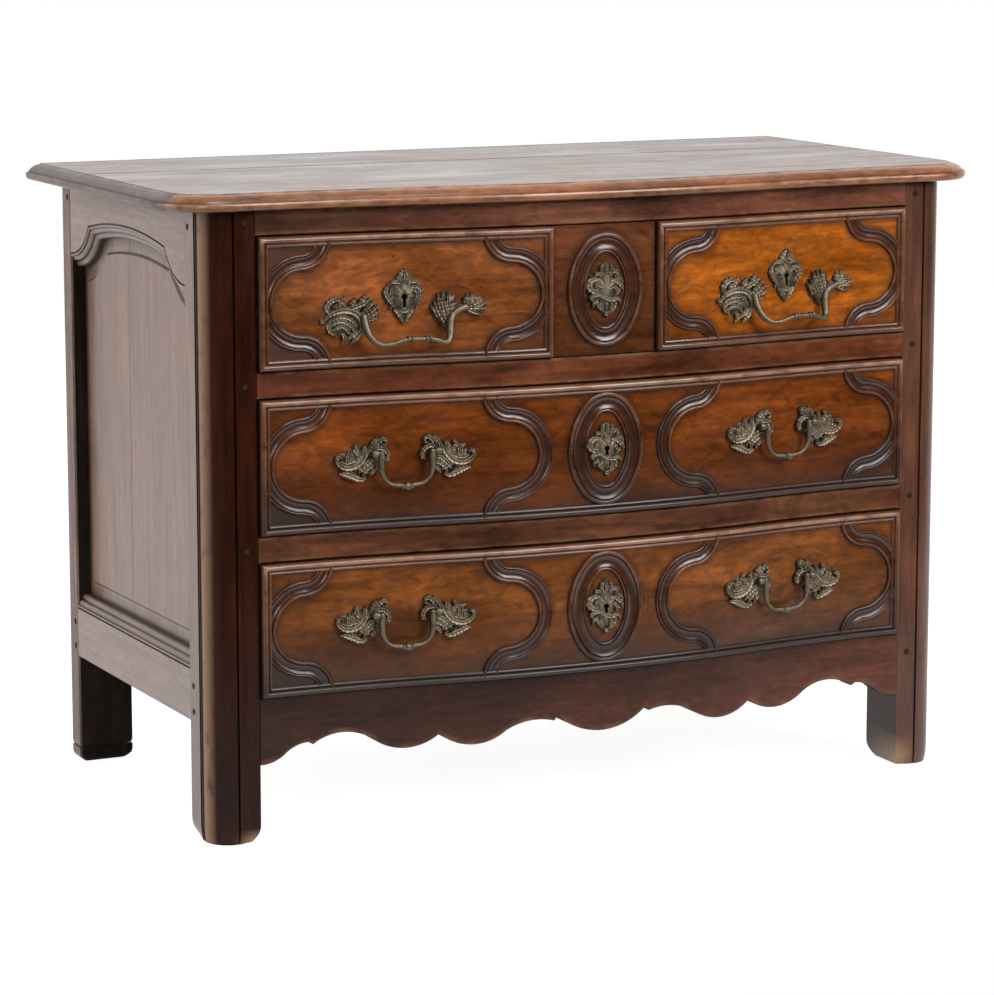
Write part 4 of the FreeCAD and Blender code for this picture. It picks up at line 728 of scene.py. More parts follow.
TOP_HALF = HALF + 54.0
TOP_OVERHANG = 21.0
TOP_CORNER = 80.0
TOP_SPLIT = 395.0 - TOP_OVERHANG
TOP_WALNUT = walnut("top_walnut", (0.15, 0.097, 0.074), "x", figure=0.6, cloud=0.6, sheen=0.3, rough=0.42,
                    gloss=0.65, specks=0.9, planing=0.9, mottle=0.35, uneven=0.22)
EDGE_WALNUT = walnut("top_edge_walnut", (0.17, 0.058, 0.02), "x", worn=(0.32, 0.15, 0.075), sheen=0.3,
                     rough=0.26, cloud=0.45, mottle=0.3)
END_WALNUT = walnut("top_end_walnut", (0.072, 0.045, 0.035), "y", worn=(0.17, 0.12, 0.09), sheen=0.1,
                    rough=0.4, mottle=0.3)
TURN_WALNUT = walnut("top_corner_walnut", (0.17, 0.076, 0.043), "y", worn=(0.27, 0.15, 0.1), sheen=0.2,
                     rough=0.33)
FRONT_EDGE, END_EDGE, TURN_EDGE = 1, 2, 3
TOP_FINISHES = [TOP_WALNUT, EDGE_WALNUT, END_WALNUT, TURN_WALNUT]
END_INSET, TURN_INSET = 8.0, 20.0  # from the ends to where the next finish starts
END_STATION = 220.0
EDGE_SHADE_SHARE = (0.6, 1.0)  # share of the painted shade lines at the front and at the ends
JOINT_GAP = 0.4
DECK = CARCASS_TOP + TOP_THICKNESS - 0.3  # the deck is worn down a little round its pegs
# Edge from the underside round the nose and up the ovolo: inset from the outline, and height
NOSE = [(7.0, 0.0), (6.0, 0.0, 6.0, -1), (0.0, 6.0), (0.0, 9.6), (0.8, 10.8), (2.6, 11.0), (3.2, 11.6)]
OVOLO = chain([(3.2, 11.6, 24.0, -1), (21.0, 21.8), (22.0, 22.7), (23.0, 23.0)], turn=0.1)
EDGE = np.concatenate([chain(NOSE, turn=0.2), OVOLO[1:]])
edge_wear = np.interp(EDGE[:, 1], [0, 4, 8, 10.8, 11.2, 12, 20, 22, 23],
                      [0, 0.5, 1, 0.7, 0, 0.1, 0.2, 1, 0.4])
# painted shade lines in the quirk and at the deck's fillet, and a little dirt under the nose
edge_shade_and_dirt = np.interp(EDGE[:, 1], [0, 10.4, 11, 11.6, 13, 21, 22.5, 23], [0.2, 0, 1, 1, 0, 0, 1, 0])
turn_y = -TOP_OVERHANG + TOP_CORNER
turn_x = TOP_HALF - TOP_CORNER
corner = chain([(TOP_HALF, turn_y, TOP_CORNER, -1), (turn_x, -TOP_OVERHANG)], turn=0.06)
middle = np.linspace(OPEN, -OPEN, FRONT_STEPS)
front_line = np.stack([middle, -TOP_OVERHANG - swell(middle)], 1)
end_line = np.array([(TOP_HALF, TOP_SPLIT - JOINT_GAP), (TOP_HALF, END_STATION)])
turned = np.concatenate([end_line, corner])
outline = np.concatenate([turned, front_line, turned[::-1] * [-1, 1]])
run = np.gradient(outline, axis=0)
run /= np.hypot(*run.T)[:, None]
inward = np.stack([run[:, 1], -run[:, 0]], 1)
inward[[0, 1, -1, -2]] = [(-1, 0), (-1, 0), (1, 0), (1, 0)]
plan = outline[:, None] + inward[:, None] * EDGE[:, :1]
ledge = np.linspace(1, -1, len(outline)) * (TOP_HALF - EDGE[-1, 0])
spine = np.stack([ledge, np.full_like(ledge, TOP_SPLIT - JOINT_GAP)], 1)
under = np.stack([np.linspace(1, -1, len(outline)) * (TOP_HALF - EDGE[0, 0]), spine[:, 1]], 1)
z = np.broadcast_to(CARCASS_TOP + EDGE[:, 1], plan.shape[:2])
edge_rows = np.concatenate([plan, z[..., None]], -1) + [0, FACE, 0]
share = np.linspace(0, 1, 9)[None, :, None]
deck = plan[:, -1:] * (1 - share) + spine[:, None] * share
deck = np.concatenate([deck, np.full((*deck.shape[:2], 1), DECK)], -1) + [0, FACE, 0]
belly = plan[:, :1] * (1 - share) + under[:, None] * share
belly = np.concatenate([belly, np.full((*belly.shape[:2], 1), CARCASS_TOP)], -1) + [0, FACE, 0]


def joint_face(y, facing):
    """Square face of a board at a depth, as wide as the moulded edge at each height."""
    width = TOP_HALF - EDGE[:, 0]
    x = np.stack([-width, width], 0)
    rows = np.stack(np.broadcast_arrays(x, FACE + y, CARCASS_TOP + EDGE[:, 1]), -1)
    return sheet(rows, facing=(0, facing, 0), grime=1.0)


inset = TOP_HALF - np.minimum(np.abs(outline[:-1, 0]), np.abs(outline[1:, 0]))
edge_finish = np.select([inset < END_INSET, inset < TURN_INSET], [END_EDGE, TURN_EDGE], FRONT_EDGE)
front_sheets = [
    sheet(edge_rows, facing=(0, -1, 0), finish=edge_finish[:, None], wear=edge_wear,
          grime=edge_shade_and_dirt * np.interp(np.abs(outline[:, :1]), [OPEN, TOP_HALF], EDGE_SHADE_SHARE)),
    sheet(deck, facing=(0, 0, 1)),
    sheet(belly, facing=(0, 0, -1), grime=0.3),
    joint_face(TOP_SPLIT - JOINT_GAP, 1),
]
piece("top_board_front", front_sheets, TOP_FINISHES, "carcass", "walnut", "top_front_board")
width = np.concatenate([EDGE[:, 0] - TOP_HALF, (TOP_HALF - EDGE[:, 0])[::-1]])
level = CARCASS_TOP + np.concatenate([EDGE[:, 1], EDGE[::-1, 1]])
depths = FACE + np.array([TOP_SPLIT, REAR_END])
rows = np.stack(np.broadcast_arrays(width, depths[:, None], level), -1)
half = len(EDGE)
rear_deck = rows[:, half - 1:half + 1].copy()
rear_deck[..., 2] = np.minimum(rear_deck[..., 2], DECK)
rear_sheets = [
    sheet(rows[:, :half], facing=(-1, 0, 0), finish=END_EDGE, wear=edge_wear, grime=edge_shade_and_dirt),
    sheet(rows[:, half:], facing=(1, 0, 0), finish=END_EDGE, wear=edge_wear[::-1], grime=edge_shade_and_dirt[::-1]),
    sheet(rear_deck, facing=(0, 0, 1)),
    sheet(rows[:, [0, -1]], facing=(0, 0, -1), grime=0.3),
    joint_face(TOP_SPLIT, -1),
    joint_face(REAR_END, 1),
]
piece("top_board_rear", rear_sheets, TOP_FINISHES, "carcass", "walnut", "top_rear_board")

# Drawer boxes
# Thin sides, backs and bottoms of the same pale wood as the runners, never waxed. The bottoms are
# held in grooves of the sides.

DRAWERS = ("top_left", "top_centre", "top_right", "middle", "bottom")
for name in DRAWERS:
    for part, grain in (("sides", "y"), ("back", "x"), ("bottom", "x"), ("box", "y")):
        if f"{name}_{part}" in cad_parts:
            refinish(f"{name}_{part}", INNER_WOOD[grain])

# Drawer fronts
# Solid walnut boards bowed to the crossbow. A rounded frame runs round each edge, and serpentine
# bands and ovals are carved in relief: a thin bead outside, a broad hollow and a fuller bead inside.

LEVELS = {"bottom": (200.0, 188.0), "middle": (424.0, 188.0), "top": (648.0, 184.0)}
FIELD_PROUD = 4.5
FRONT_BACK, FRONT_SETBACK = 18.5, 6.0
FRONT_GAP = 1.5
FRAME_WIDTH = 15.0
FRAME_RIB = 9.0
BAND_WIDTH = 22.0
BAND_REACH = 84.0
BAND_LAP = 17.0
TUCK = 8.2
OVAL_CLEAR = 22.0
SHOULDER = 0.37
OVAL_WIDTH, OVAL_HEIGHT, OVAL_END = 59.0, 80.0, 47.0
OVAL_BROAD = 1.3  # its moulding is broader than the bands
CENTRE_WIDTH = 158.0
# Tone of each field, which holds painted light, the upper right drawer being the lightest, and its share
# at the left and the right of the chest, a painted falloff of light
FIELD_TONES = {
    "top_left": ((0.175, 0.049, 0.009), (1.0, 1.0)),
    "top_centre": ((0.095, 0.025, 0.004), (1.0, 1.0)),
    "top_right": ((0.27, 0.067, 0.002), (1.0, 1.0)),
    "middle": ((0.13, 0.029, 0.002), (0.95, 1.25)),
    "bottom": ((0.155, 0.044, 0.006), (0.88, 1.1)),
}
FIELDS = {
    name: walnut(f"{name}_field_walnut", tone, "x", figure=0.35, cloud=0.45, rough=0.28, specks=0.9,
                 painted_falloff=painted_falloff, mottle=0.3)
    for name, (tone, painted_falloff) in FIELD_TONES.items()
}
CARVED_WALNUT = walnut("carved_walnut", (0.066, 0.019, 0.006), "x", worn=(0.15, 0.06, 0.026), sheen=0.2,
                       rough=0.24, painted_falloff=(0.95, 0.9))
# the frames' worn tone is also the colour of their painted highlight
FRAME_WALNUT = walnut("frame_walnut", (0.095, 0.03, 0.01), "x", worn=(0.27, 0.145, 0.09), sheen=0.3,
                      rough=0.24, painted_falloff=(0.95, 0.9), broken=(0.25, 0.55))
CARVED, FRAMED = 1, 2
# Painted shade low on each row of fronts, where it starts above the middle and how it grows downwards
LOW_SHADE = {"top": 0.2, "middle": 0.85, "bottom": 0.95}
SHADE_START, SHADE_POWER = 0.3, 0.75
# Share of the corners' darkening in the upper corners, and the heights between which it changes
HIGH_CORNER_DARK = {"top": 0.9, "middle": 0.4, "bottom": 0.4}
CORNER_BLEND = (-0.4, 0.4)
# Dirt and painted shade at the frame, at a flush drawer's edge and beside a band, and how far each fades
FRAME_SOIL_SHADE, FRAME_FADE = 0.7, 7.0
FLUSH_SOIL_SHADE, FLUSH_FADE = 0.5, 3.0
BAND_SOIL_SHADE, BAND_FADE = 0.75, 6.0
TOP_HIGHLIGHT_RUB, LOW_RUB = 1.25, 0.3  # painted highlight with wear along the top of a frame, and wear along the rest
FIELD_STEP, FRAME_STEP = 5.0, 8.0


def on_front(x, z, h, lift):
    """Point of the crossbow front at x and z, a height h over a field that stands proud by lift."""
    return np.stack(np.broadcast_arrays(x, FACE - swell(x) - lift - h, z), -1)


def bead(s, middle, half, height):
    """Half-round bead: an ellipse of a half width and height about its middle, and nothing beyond."""
    return height * np.sqrt(np.clip(1 - ((s - middle) / half) ** 2, 0, 1))


# Section of a band, across and up: both beads by middle, half width and height, the hollow between by
# its ends, its middle and half width, and its lowest height and rise
THIN_BEAD, FULL_BEAD = (-9.2, 1.8, 3.4), (8.0, 2.9, 5.0)
HOLLOW_FROM, HOLLOW_TO, HOLLOW_MIDDLE, HOLLOW_HALF = -7.0, 4.6, -1.2, 6.0
HOLLOW_LOW, HOLLOW_RISE = 0.6, 2.2
BEAD_SKIRT, BAND_ROOT = 0.2, -0.6
BAND_S = np.concatenate(
    [
        THIN_BEAD[0] + (THIN_BEAD[1] + BEAD_SKIRT) * np.cos(np.linspace(np.pi, 0, 9)),
        np.linspace(HOLLOW_FROM, HOLLOW_TO, 11),
        FULL_BEAD[0] + (FULL_BEAD[1] + BEAD_SKIRT) * np.cos(np.linspace(np.pi, 0, 11)),
    ]
)
in_hollow = (BAND_S > HOLLOW_FROM - NEAR) & (BAND_S < HOLLOW_TO + NEAR)
hollow = np.where(in_hollow, HOLLOW_LOW + HOLLOW_RISE * ((BAND_S - HOLLOW_MIDDLE) / HOLLOW_HALF) ** 2, 0)
BAND_H = np.maximum.reduce([bead(BAND_S, *THIN_BEAD), hollow, bead(BAND_S, *FULL_BEAD)])
BAND_H[[0, -1]] = BAND_ROOT
# Section of a frame, in from the edge and up
FRAME_S = np.array([0, 0, 0.5, 1.6, 3.2, 5.0, 6.8, 8.2, 8.9, 9.2, 9.6, 10.3, 11.6, 13.0, 14.2, 15.0, 15.4])
FRAME_H = np.array([-7, -1.5, 1.0, 3.2, 4.7, 5.2, 4.7, 3.4, 2.0, 1.2, 1.5, 2.7, 3.3, 3.0, 1.9, 0.5, -0.5])
CREST, CREST_WEAR, HOLLOW_LINE = 2.6, 0.8, 1.6


def marks(h):
    """Wear on the crests of a moulding, rising with its height, and grime in its hollows."""
    wear = CREST_WEAR * np.clip((h - CREST) / CREST, 0, 1)
    return wear, np.clip((HOLLOW_LINE - h) / HOLLOW_LINE, 0, 1)


def low_shade(z, half, level):
    """Painted shade low on a front: from none a little over the middle to all of its row's share at the
    foot.
    """
    return LOW_SHADE[level] * np.clip((SHADE_START - z / half) / (1 + SHADE_START), 0, 1) ** SHADE_POWER


def serpentine(bulge, half, sign):
    """Middle line of a band: upright at the frame, a shoulder, a bulge at mid height, and back.

    The two radii meet in one tangent, so their sum is (reach^2 + half^2) / (2 * reach).
    """
    total = (BAND_REACH**2 + half**2) / (2 * BAND_REACH)
    near, far = total * SHOULDER, total * (1 - SHOULDER)
    shoulder_x = BAND_REACH - near
    meet_x = shoulder_x + (far - shoulder_x) / total * near
    meet_z = half - half / total * near
    corners = [
        (BAND_REACH, half, near, -1),
        (meet_x, meet_z, far, 1),
        (0.0, 0.0, far, 1),
        (meet_x, -meet_z, near, -1),
        (BAND_REACH, -half),
    ]
    return chain(corners, turn=0.06) * [sign, 1] + [bulge, 0]


def oval_line(inset):
    """Four-arc oval, set in from the outer edge.

    The flanks' radius is (width^2 + tip^2 - end^2) / (2 * (width - end)), so that they meet the end
    arcs in one tangent.
    """
    tip = OVAL_HEIGHT - OVAL_END
    flank = (OVAL_WIDTH**2 + tip**2 - OVAL_END**2) / (2 * (OVAL_WIDTH - OVAL_END))
    reach = flank - OVAL_END
    meet_x = (flank - OVAL_WIDTH) / reach * (OVAL_END - inset)
    meet_z = tip + tip / reach * (OVAL_END - inset)
    corners = [
        (meet_x, -meet_z, flank - inset, 1),
        (meet_x, meet_z, OVAL_END - inset, 1),
        (-meet_x, meet_z, flank - inset, 1),
        (-meet_x, -meet_z, OVAL_END - inset, 1),
    ]
    return chain(corners, closed=True, turn=0.08)


def carved(line, mid_z, lift, ends, low, loop=False):
    """Band profile carried along a middle line, square to it, and laid on the crossbow.

    Where it passes under the frame at either end of the drawer it is cut off. 'low' is the painted
    shade low on the front along it.
    """
    ahead = np.roll(line, -1, 0) - np.roll(line, 1, 0) if loop else np.gradient(line, axis=0)
    side = np.stack([-ahead[:, 1], ahead[:, 0]], 1) / np.hypot(*ahead.T)[:, None]
    plan = line[:, None] + side[:, None] * BAND_S[:, None] * (OVAL_BROAD if loop else 1)
    rows = on_front(np.clip(plan[..., 0], *ends), mid_z + plan[..., 1], BAND_H, lift)
    if loop:
        rows, low = np.concatenate([rows, rows[:1]]), np.append(low, low[0])
    wear, grime = marks(BAND_H)
    low = low[:, None]
    grime = np.maximum(grime, low)
    return sheet(rows, facing=(0, -1, 0), finish=CARVED, wear=wear * (1 - low), grime=grime)


inner = CENTRE_WIDTH / 2 + FRONT_GAP
outer = OPEN - FRONT_GAP
outer_bulge = outer - FRAME_WIDTH - BAND_WIDTH / 2 + BAND_LAP
inner_bulge = inner + FRAME_WIDTH + BAND_WIDTH / 2 - BAND_LAP
oval_bulge = OVAL_WIDTH + BAND_WIDTH / 2 + OVAL_CLEAR
# Ends and row of each front, its bands, and whether it has an oval. A band is where it bulges, the side
# its field is on, and how much darker the corners it cuts off are
WIDE = ((-outer_bulge, 1, 1.0), (-oval_bulge, -1, 0.4), (oval_bulge, 1, 0.4), (outer_bulge, -1, 0.6))
FRONTS = {
    "top_left": (-outer, -inner, "top", ((-outer_bulge, 1, 0.9), (-inner_bulge, -1, 0.5)), False),
    "top_centre": (-CENTRE_WIDTH / 2 + FRONT_GAP / 2, CENTRE_WIDTH / 2 - FRONT_GAP / 2, "top", (), True),
    "top_right": (inner, outer, "top", ((inner_bulge, 1, 0.3), (outer_bulge, -1, 0.5)), False),
    "middle": (-outer, outer, "middle", WIDE, True),
    "bottom": (-outer, outer, "bottom", WIDE, True),
}
for name, (low_x, high_x, level, bands, with_oval) in FRONTS.items():
    floor, opening = LEVELS[level]
    mid_z, half_z = floor + opening / 2, opening / 2 - FRONT_GAP
    lift = FIELD_PROUD if bands else 0.0
    x = np.linspace(low_x, high_x, max(int((high_x - low_x) / FIELD_STEP), 24))
    z = np.linspace(-half_z, half_z, 38)
    spot = np.stack(np.meshgrid(x, z, indexing="ij"), -1)
    spot_x, spot_z = spot[..., 0], spot[..., 1]
    edge = np.minimum(np.minimum(spot_x - low_x, high_x - spot_x), half_z - np.abs(spot_z))
    # dirt and painted shade in the field along the frame, or along the edge of a flush drawer
    if bands:
        shade_and_soil = FRAME_SOIL_SHADE * np.exp(-np.clip(edge - FRAME_WIDTH, 0, None) / FRAME_FADE)
    else:
        shade_and_soil = FLUSH_SOIL_SHADE * np.exp(-edge / FLUSH_FADE)
    # painted shade low on the front
    shade_and_soil = np.maximum(shade_and_soil, low_shade(spot_z, half_z, level))
    sheets = []
    lines = [serpentine(bulge, half_z - FRAME_RIB / 2, sign) for bulge, sign, _ in bands]
    loops = [False] * len(lines)
    if with_oval:
        lines.append(oval_line(BAND_WIDTH / 2 * OVAL_BROAD)[::-1])
        loops.append(True)
    for line, loop, (bulge, sign, corner_dark) in zip(lines, loops, [*bands, (0.0, 1, 0.0)]):
        flipped = line if sign > 0 or loop else line[::-1]
        low = low_shade(flipped[:, 1], half_z, level)
        sheets.append(carved(flipped, mid_z, lift, (low_x + TUCK, high_x - TUCK), low, loop))
        # the corners cut off by a band are made darker, less in the upper ones
        if corner_dark:
            cut = np.interp(-spot_z, -line[:, 1], line[:, 0])
            inner_side = np.abs(spot_x) < np.abs(cut)
            beyond = inner_side if bulge * sign > 0 else (spot_x - cut) * sign < 0
            share = np.interp(spot_z / half_z, CORNER_BLEND, (1.0, HIGH_CORNER_DARK[level]))
            shade_and_soil = np.maximum(shade_and_soil, np.where(beyond, corner_dark * share, 0))
        # dirt and painted shade in the field beside the band
        away = spot[:, :, None] - line
        gap = np.hypot(away[..., 0], away[..., 1]).min(-1) - BAND_WIDTH / 2 * (OVAL_BROAD if loop else 1)
        shade_and_soil = np.maximum(shade_and_soil, BAND_SOIL_SHADE * np.exp(-np.clip(gap, 0, None) / BAND_FADE))
    rows = on_front(spot_x, mid_z + spot_z, 0.0, lift)
    sheets.append(sheet(rows, facing=(0, -1, 0), grime=shade_and_soil))
    if bands:
        across = np.linspace(low_x, high_x, max(int((high_x - low_x) / FRAME_STEP), 20))
        upright = np.linspace(-half_z, half_z, 9)
        path = np.concatenate(
            [
                np.stack([across, np.full_like(across, -half_z)], 1)[:-1],
                np.stack([np.full_like(upright, high_x), upright], 1)[:-1],
                np.stack([across[::-1], np.full_like(across, half_z)], 1)[:-1],
                np.stack([np.full_like(upright, low_x), -upright], 1),
            ]
        )
        px = np.clip(path[:, :1], low_x + FRAME_S, high_x - FRAME_S)
        pz = np.clip(path[:, 1:], FRAME_S - half_z, half_z - FRAME_S)
        rows = on_front(px, mid_z + pz, FRAME_H, lift)
        wear, grime = marks(FRAME_H)
        # painted shade low on the frame, which also takes the wear off there
        low = low_shade(path[:, 1:], half_z, level)
        # painted highlight along the top of each frame
        wear = wear * np.where(path[:, 1:] > half_z - 1, TOP_HIGHLIGHT_RUB, LOW_RUB * (1 - low))
        grime = np.maximum(grime, low)
        sheets.append(sheet(rows, facing=(0, -1, 0), finish=FRAMED, wear=wear, grime=grime))
    back = np.full_like(x, FACE + FRONT_BACK)
    face = FACE - swell(x) - lift + (FRONT_SETBACK if bands else 0.0)
    hull = [(face, -half_z), (back, -half_z), (back, half_z), (face, half_z)]
    rows = np.stack([np.stack([x, y, np.full_like(x, mid_z + z)], 1) for y, z in hull], 1)
    sheets.append(sheet(rows, facing=(0, 1, 0), grime=0.2))
    for end, way in ((0, -1), (-1, 1)):
        sheets.append(sheet(rows[end][[0, 1, 3, 2]].reshape(2, 2, 3), facing=(way, 0, 0), grime=0.3))
    finishes = [FIELDS[name], CARVED_WALNUT, FRAME_WALNUT]
    piece(f"{name}_carved_front", sheets, finishes, f"{name}_drawer", "drawer_walnut", f"{name}_front")

# Locks
# Iron cases screwed behind the fronts, each with its bolt drawn in. The iron is rusted brown as the
# nails are.

for name in ("top_left", "top_right", "middle", "bottom"):
    refinish(f"{name}_lock", IRON)

# Escutcheons
# Cast and chased bronze plates set over the keyholes: a shell above, scrolls at the sides and a
# leaf below. The small middle drawer has a blind one.

PLATE_HALF, PLATE_TALL = 26.0, 38.5
PLATE_RISE = 3.0
HANDLE_PLACE = 297.0
KEYHOLE, SLOT = 4.0, 15.0
# Right half of the plate: corner, and radius and bend of the next arc, as shares of its half sizes
SHIELD = (
    (0, -1, 0.9, 1),
    (0.62, -0.6, 1.1, -1),
    (0.8, -0.24, 1.4, 1),
    (1, 0.44, 1.2, -1),
    (0.42, 0.64, 0.6, 1),
    (0, 1),
)


def bronze(name, dark, bright):
    """Old bronze: patina and painted shade by the grime mark, wear and painted glint by the wear mark,
    pitted.
    """
    material, tree = blank(name)
    where = node(tree, "TexCoord").outputs["Object"]
    patina = node(tree, "TexNoise", {"Vector": where, "Scale": 130.0, "Detail": 5.0}).outputs["Fac"]
    pits = node(tree, "TexNoise", {"Vector": where, "Scale": 380.0, "Detail": 4.0}).outputs["Fac"]
    wear = node(tree, "Attribute", attribute_name="wear").outputs["Fac"]
    grime = node(tree, "Attribute", attribute_name="grime").outputs["Fac"]
    shown = joined(tree, "MULTIPLY", wear, spread(tree, patina, 0.3, 0.65, 0.25, 1.0))
    tone = mixed(tree, shown, paint(dark), paint(bright))
    tone = mixed(tree, spread(tree, grime, 0.0, 1.0, 0.0, 0.8), tone, paint([c * 0.2 for c in dark]))
    rough = spread(tree, patina, 0.3, 0.7, 0.4, 0.62)
    bump = node(tree, "Bump", {"Strength": 0.6, "Distance": 0.0007, "Height": pits}).outputs[0]
    surfaced(tree, {"Base Color": tone, "Roughness": rough, "Normal": bump, "Metallic": 0.9})
    return material


BRONZE = bronze("old_bronze", (0.095, 0.074, 0.05), (0.36, 0.295, 0.21))
# near-black bronze for the sheet under each keyhole, painted shade inside the hole
KEYHOLE_SHADE = bronze("keyhole_shade", (0.004, 0.003, 0.002), (0.006, 0.005, 0.004))


def rounded(points, count):
    """Control points with their corners cut four times, then spaced evenly along the line."""
    line = np.array(points, float)
    for _ in range(4):
        low, high = line[:-1], line[1:]
        cut = np.stack([0.75 * low + 0.25 * high, 0.25 * low + 0.75 * high], 1)
        line = np.concatenate([line[:1], cut.reshape(-1, line.shape[1]), line[-1:]])
    walked = np.concatenate([[0], np.cumsum(np.linalg.norm(np.diff(line, axis=0), axis=1))])
    even = np.linspace(0, walked[-1], count)
    return np.stack([np.interp(even, walked, column) for column in line.T], 1)


def along(values, count):
    """Values spread evenly over a number of rows."""
    return np.interp(np.linspace(0, 1, count), np.linspace(0, 1, len(values)), values)[:, None]


def seated(points, place, turn=0.0):
    """Local points (across, up, out) at a place on the front, turned about the upright."""
    across, up, out = np.moveaxis(points, -1, 0)
    x = place[0] + across * math.cos(turn) + out * math.sin(turn)
    y = place[1] + across * math.sin(turn) - out * math.cos(turn)
    return np.stack([x, y, place[2] + up], -1)


LEAF_ROWS, LEAF_FULL = 44, 1.25
TOOTH, TOOTH_WIDE, TOOTH_HIGH = 5.5, 0.2, 0.07  # from one tooth to the next, and its swell
CHASED_WIDTH, CHASED_DEPTH = 0.28, 0.38
LEAF_RIM, LEAF_ROOT = 0.6, -4.0
LEAF_DIRT = 2.2  # dirt ends at a height of 1 / LEAF_DIRT
BAR_SIDES, BAR_AXIS = 14, (0.1, 0.15, 1.0)  # a direction that no bar runs along
# wear with painted glint on a bar's outer half, dirt with painted shade on its inner half
BAR_WEAR, BAR_RUB_AND_GLINT, BAR_DIRT_AND_SHADE = 0.05, 0.3, 0.35


def frond(points, widths, heights, place, turn=0.0, hand=1):
    """Cast leaf: a half-round ridge along a rounded line, with a chased groove along its crest.

    Its half width and its height run through the given values from end to end, and its edge is
    toothed: both swell and sink with the cosine of the way along it.
    """
    line = rounded(points, LEAF_ROWS) * [hand, 1]
    walked = np.linspace(0, np.hypot(*np.diff(line, axis=0).T).sum(), LEAF_ROWS)[:, None]
    tooth = np.cos(2 * np.pi * walked / TOOTH)
    half = along(widths, LEAF_ROWS) * (LEAF_FULL + TOOTH_WIDE * tooth)
    crest = along(heights, LEAF_ROWS) * (1 + TOOTH_HIGH * tooth)
    ahead = np.gradient(line, axis=0)
    side = np.stack([-ahead[:, 1], ahead[:, 0]], 1) / np.hypot(*ahead.T)[:, None]
    angle = np.linspace(np.pi, 0, 13)
    s = np.concatenate([[-1], np.cos(angle), [1]])
    arch = np.concatenate([[0], np.sin(angle), [0]])
    chased = arch * (1 - CHASED_DEPTH * np.exp(-((s / CHASED_WIDTH) ** 2)))
    plan = line[:, None] + side[:, None] * (half * s)[..., None]
    out = LEAF_RIM + (crest - LEAF_RIM) * chased
    out[:, [0, -1]] = LEAF_ROOT
    rows = seated(np.concatenate([plan, out[..., None]], -1), place, turn)
    return sheet(rows, wrap=True, capped=True, wear=chased**2, grime=np.clip(1 - LEAF_DIRT * chased, 0, 1))


def bud(at, radius, height, place, turn=0.0):
    """Cast berry, as a short frond that swells and closes as a circle does."""
    points = [(at[0] - radius, at[1]), at, (at[0] + radius, at[1])]
    widths = radius * np.sqrt(1 - np.linspace(-0.97, 0.97, 9) ** 2)
    heights = height * np.sqrt(1 - np.linspace(-0.9, 0.9, 9) ** 2)
    return frond(points, widths, heights, place, turn)


def bar(points, radii, place, turn, count):
    """Round bar along a rounded line in space, its radius running through the given values."""
    line = rounded(points, count)
    ahead = np.gradient(line, axis=0)
    ahead /= np.linalg.norm(ahead, axis=1)[:, None]
    side = np.cross(ahead, BAR_AXIS)
    side /= np.linalg.norm(side, axis=1)[:, None]
    over = np.cross(side, ahead)
    angle = np.linspace(0, 2 * np.pi, BAR_SIDES + 1)[:-1, None]
    ring = np.cos(angle) * side[:, None] + np.sin(angle) * over[:, None]
    rows = seated(line[:, None] + along(radii, count)[..., None] * ring, place, turn)
    # the outer half counts as lit: painted glint over wear there, painted shade over dirt on the inner
    # half
    lit = np.clip(np.sin(angle[:, 0]), 0, 1) ** 2
    wear, grime = BAR_WEAR + BAR_RUB_AND_GLINT * lit, BAR_DIRT_AND_SHADE * (1 - lit)
    return sheet(rows, wrap=True, capped=True, wear=wear, grime=grime)


FLUTES, FLUTE_DEPTH = 11, 0.22
PLATE_MIDDLE, PLATE_RUB = 0.1, 0.4
SLOT_ANGLES = (-1.85, -1.3)  # the rings are finest between them, at the slot of a keyhole
PLATE_ANGLES = np.concatenate(
    [
        np.linspace(-np.pi, SLOT_ANGLES[0], 30),
        np.linspace(SLOT_ANGLES[0] + 0.01, SLOT_ANGLES[1], 40),
        np.linspace(SLOT_ANGLES[1] + 0.01, np.pi, 90)[:-1],
    ]
)


def plate(outline, profile, place, turn, hole=None, finish=0):
    """Cast plate in rings from its hole, or its middle, to an outline that is seen whole from there.

    Each ring of the profile is a share of the way out and a height, and its flutes rise and sink with
    the cosine of the angle.
    """
    angle = PLATE_ANGLES
    around = np.arctan2(outline[:, 1], outline[:, 0])
    reach = np.interp(angle, around, np.hypot(*outline.T), period=2 * np.pi)
    start = np.full_like(angle, PLATE_MIDDLE) if hole is None else hole(angle)
    share, out = np.array(profile).T[:, :, None]
    out = out + FLUTE_DEPTH * np.cos(FLUTES * angle) * np.sin(np.pi * np.clip(share, 0, 1)) * (out > 0)
    radius = start * (1 - share) + reach * share
    across, up = radius * np.cos(angle), radius * np.sin(angle)
    rings = np.stack(np.broadcast_arrays(across, up, out), -1)
    low = np.clip(1 - out / out.max(), 0, 1)
    rows = seated(rings, place, turn)
    wear = PLATE_RUB * (1 - low) ** 3
    return sheet(rows, wrap=True, facing=(0, -1, 0), finish=finish, wear=wear, grime=low)


def keyhole(angle):
    """Edge of a keyhole: a circle with a slot below."""
    slot = np.minimum(KEYHOLE / 2 / np.maximum(np.abs(np.cos(angle)), 1e-6),
                      SLOT / np.maximum(np.abs(np.sin(angle)), 1e-6))
    return np.where(np.sin(angle) < 0, np.maximum(KEYHOLE, slot), KEYHOLE)


half_shield = chain([(u * PLATE_HALF, v * PLATE_TALL, *(c * s for c, s in zip(rest, (PLATE_HALF, 1))))
                     for u, v, *rest in SHIELD])
shield = np.concatenate([half_shield, half_shield[-2:0:-1] * [-1, 1]])
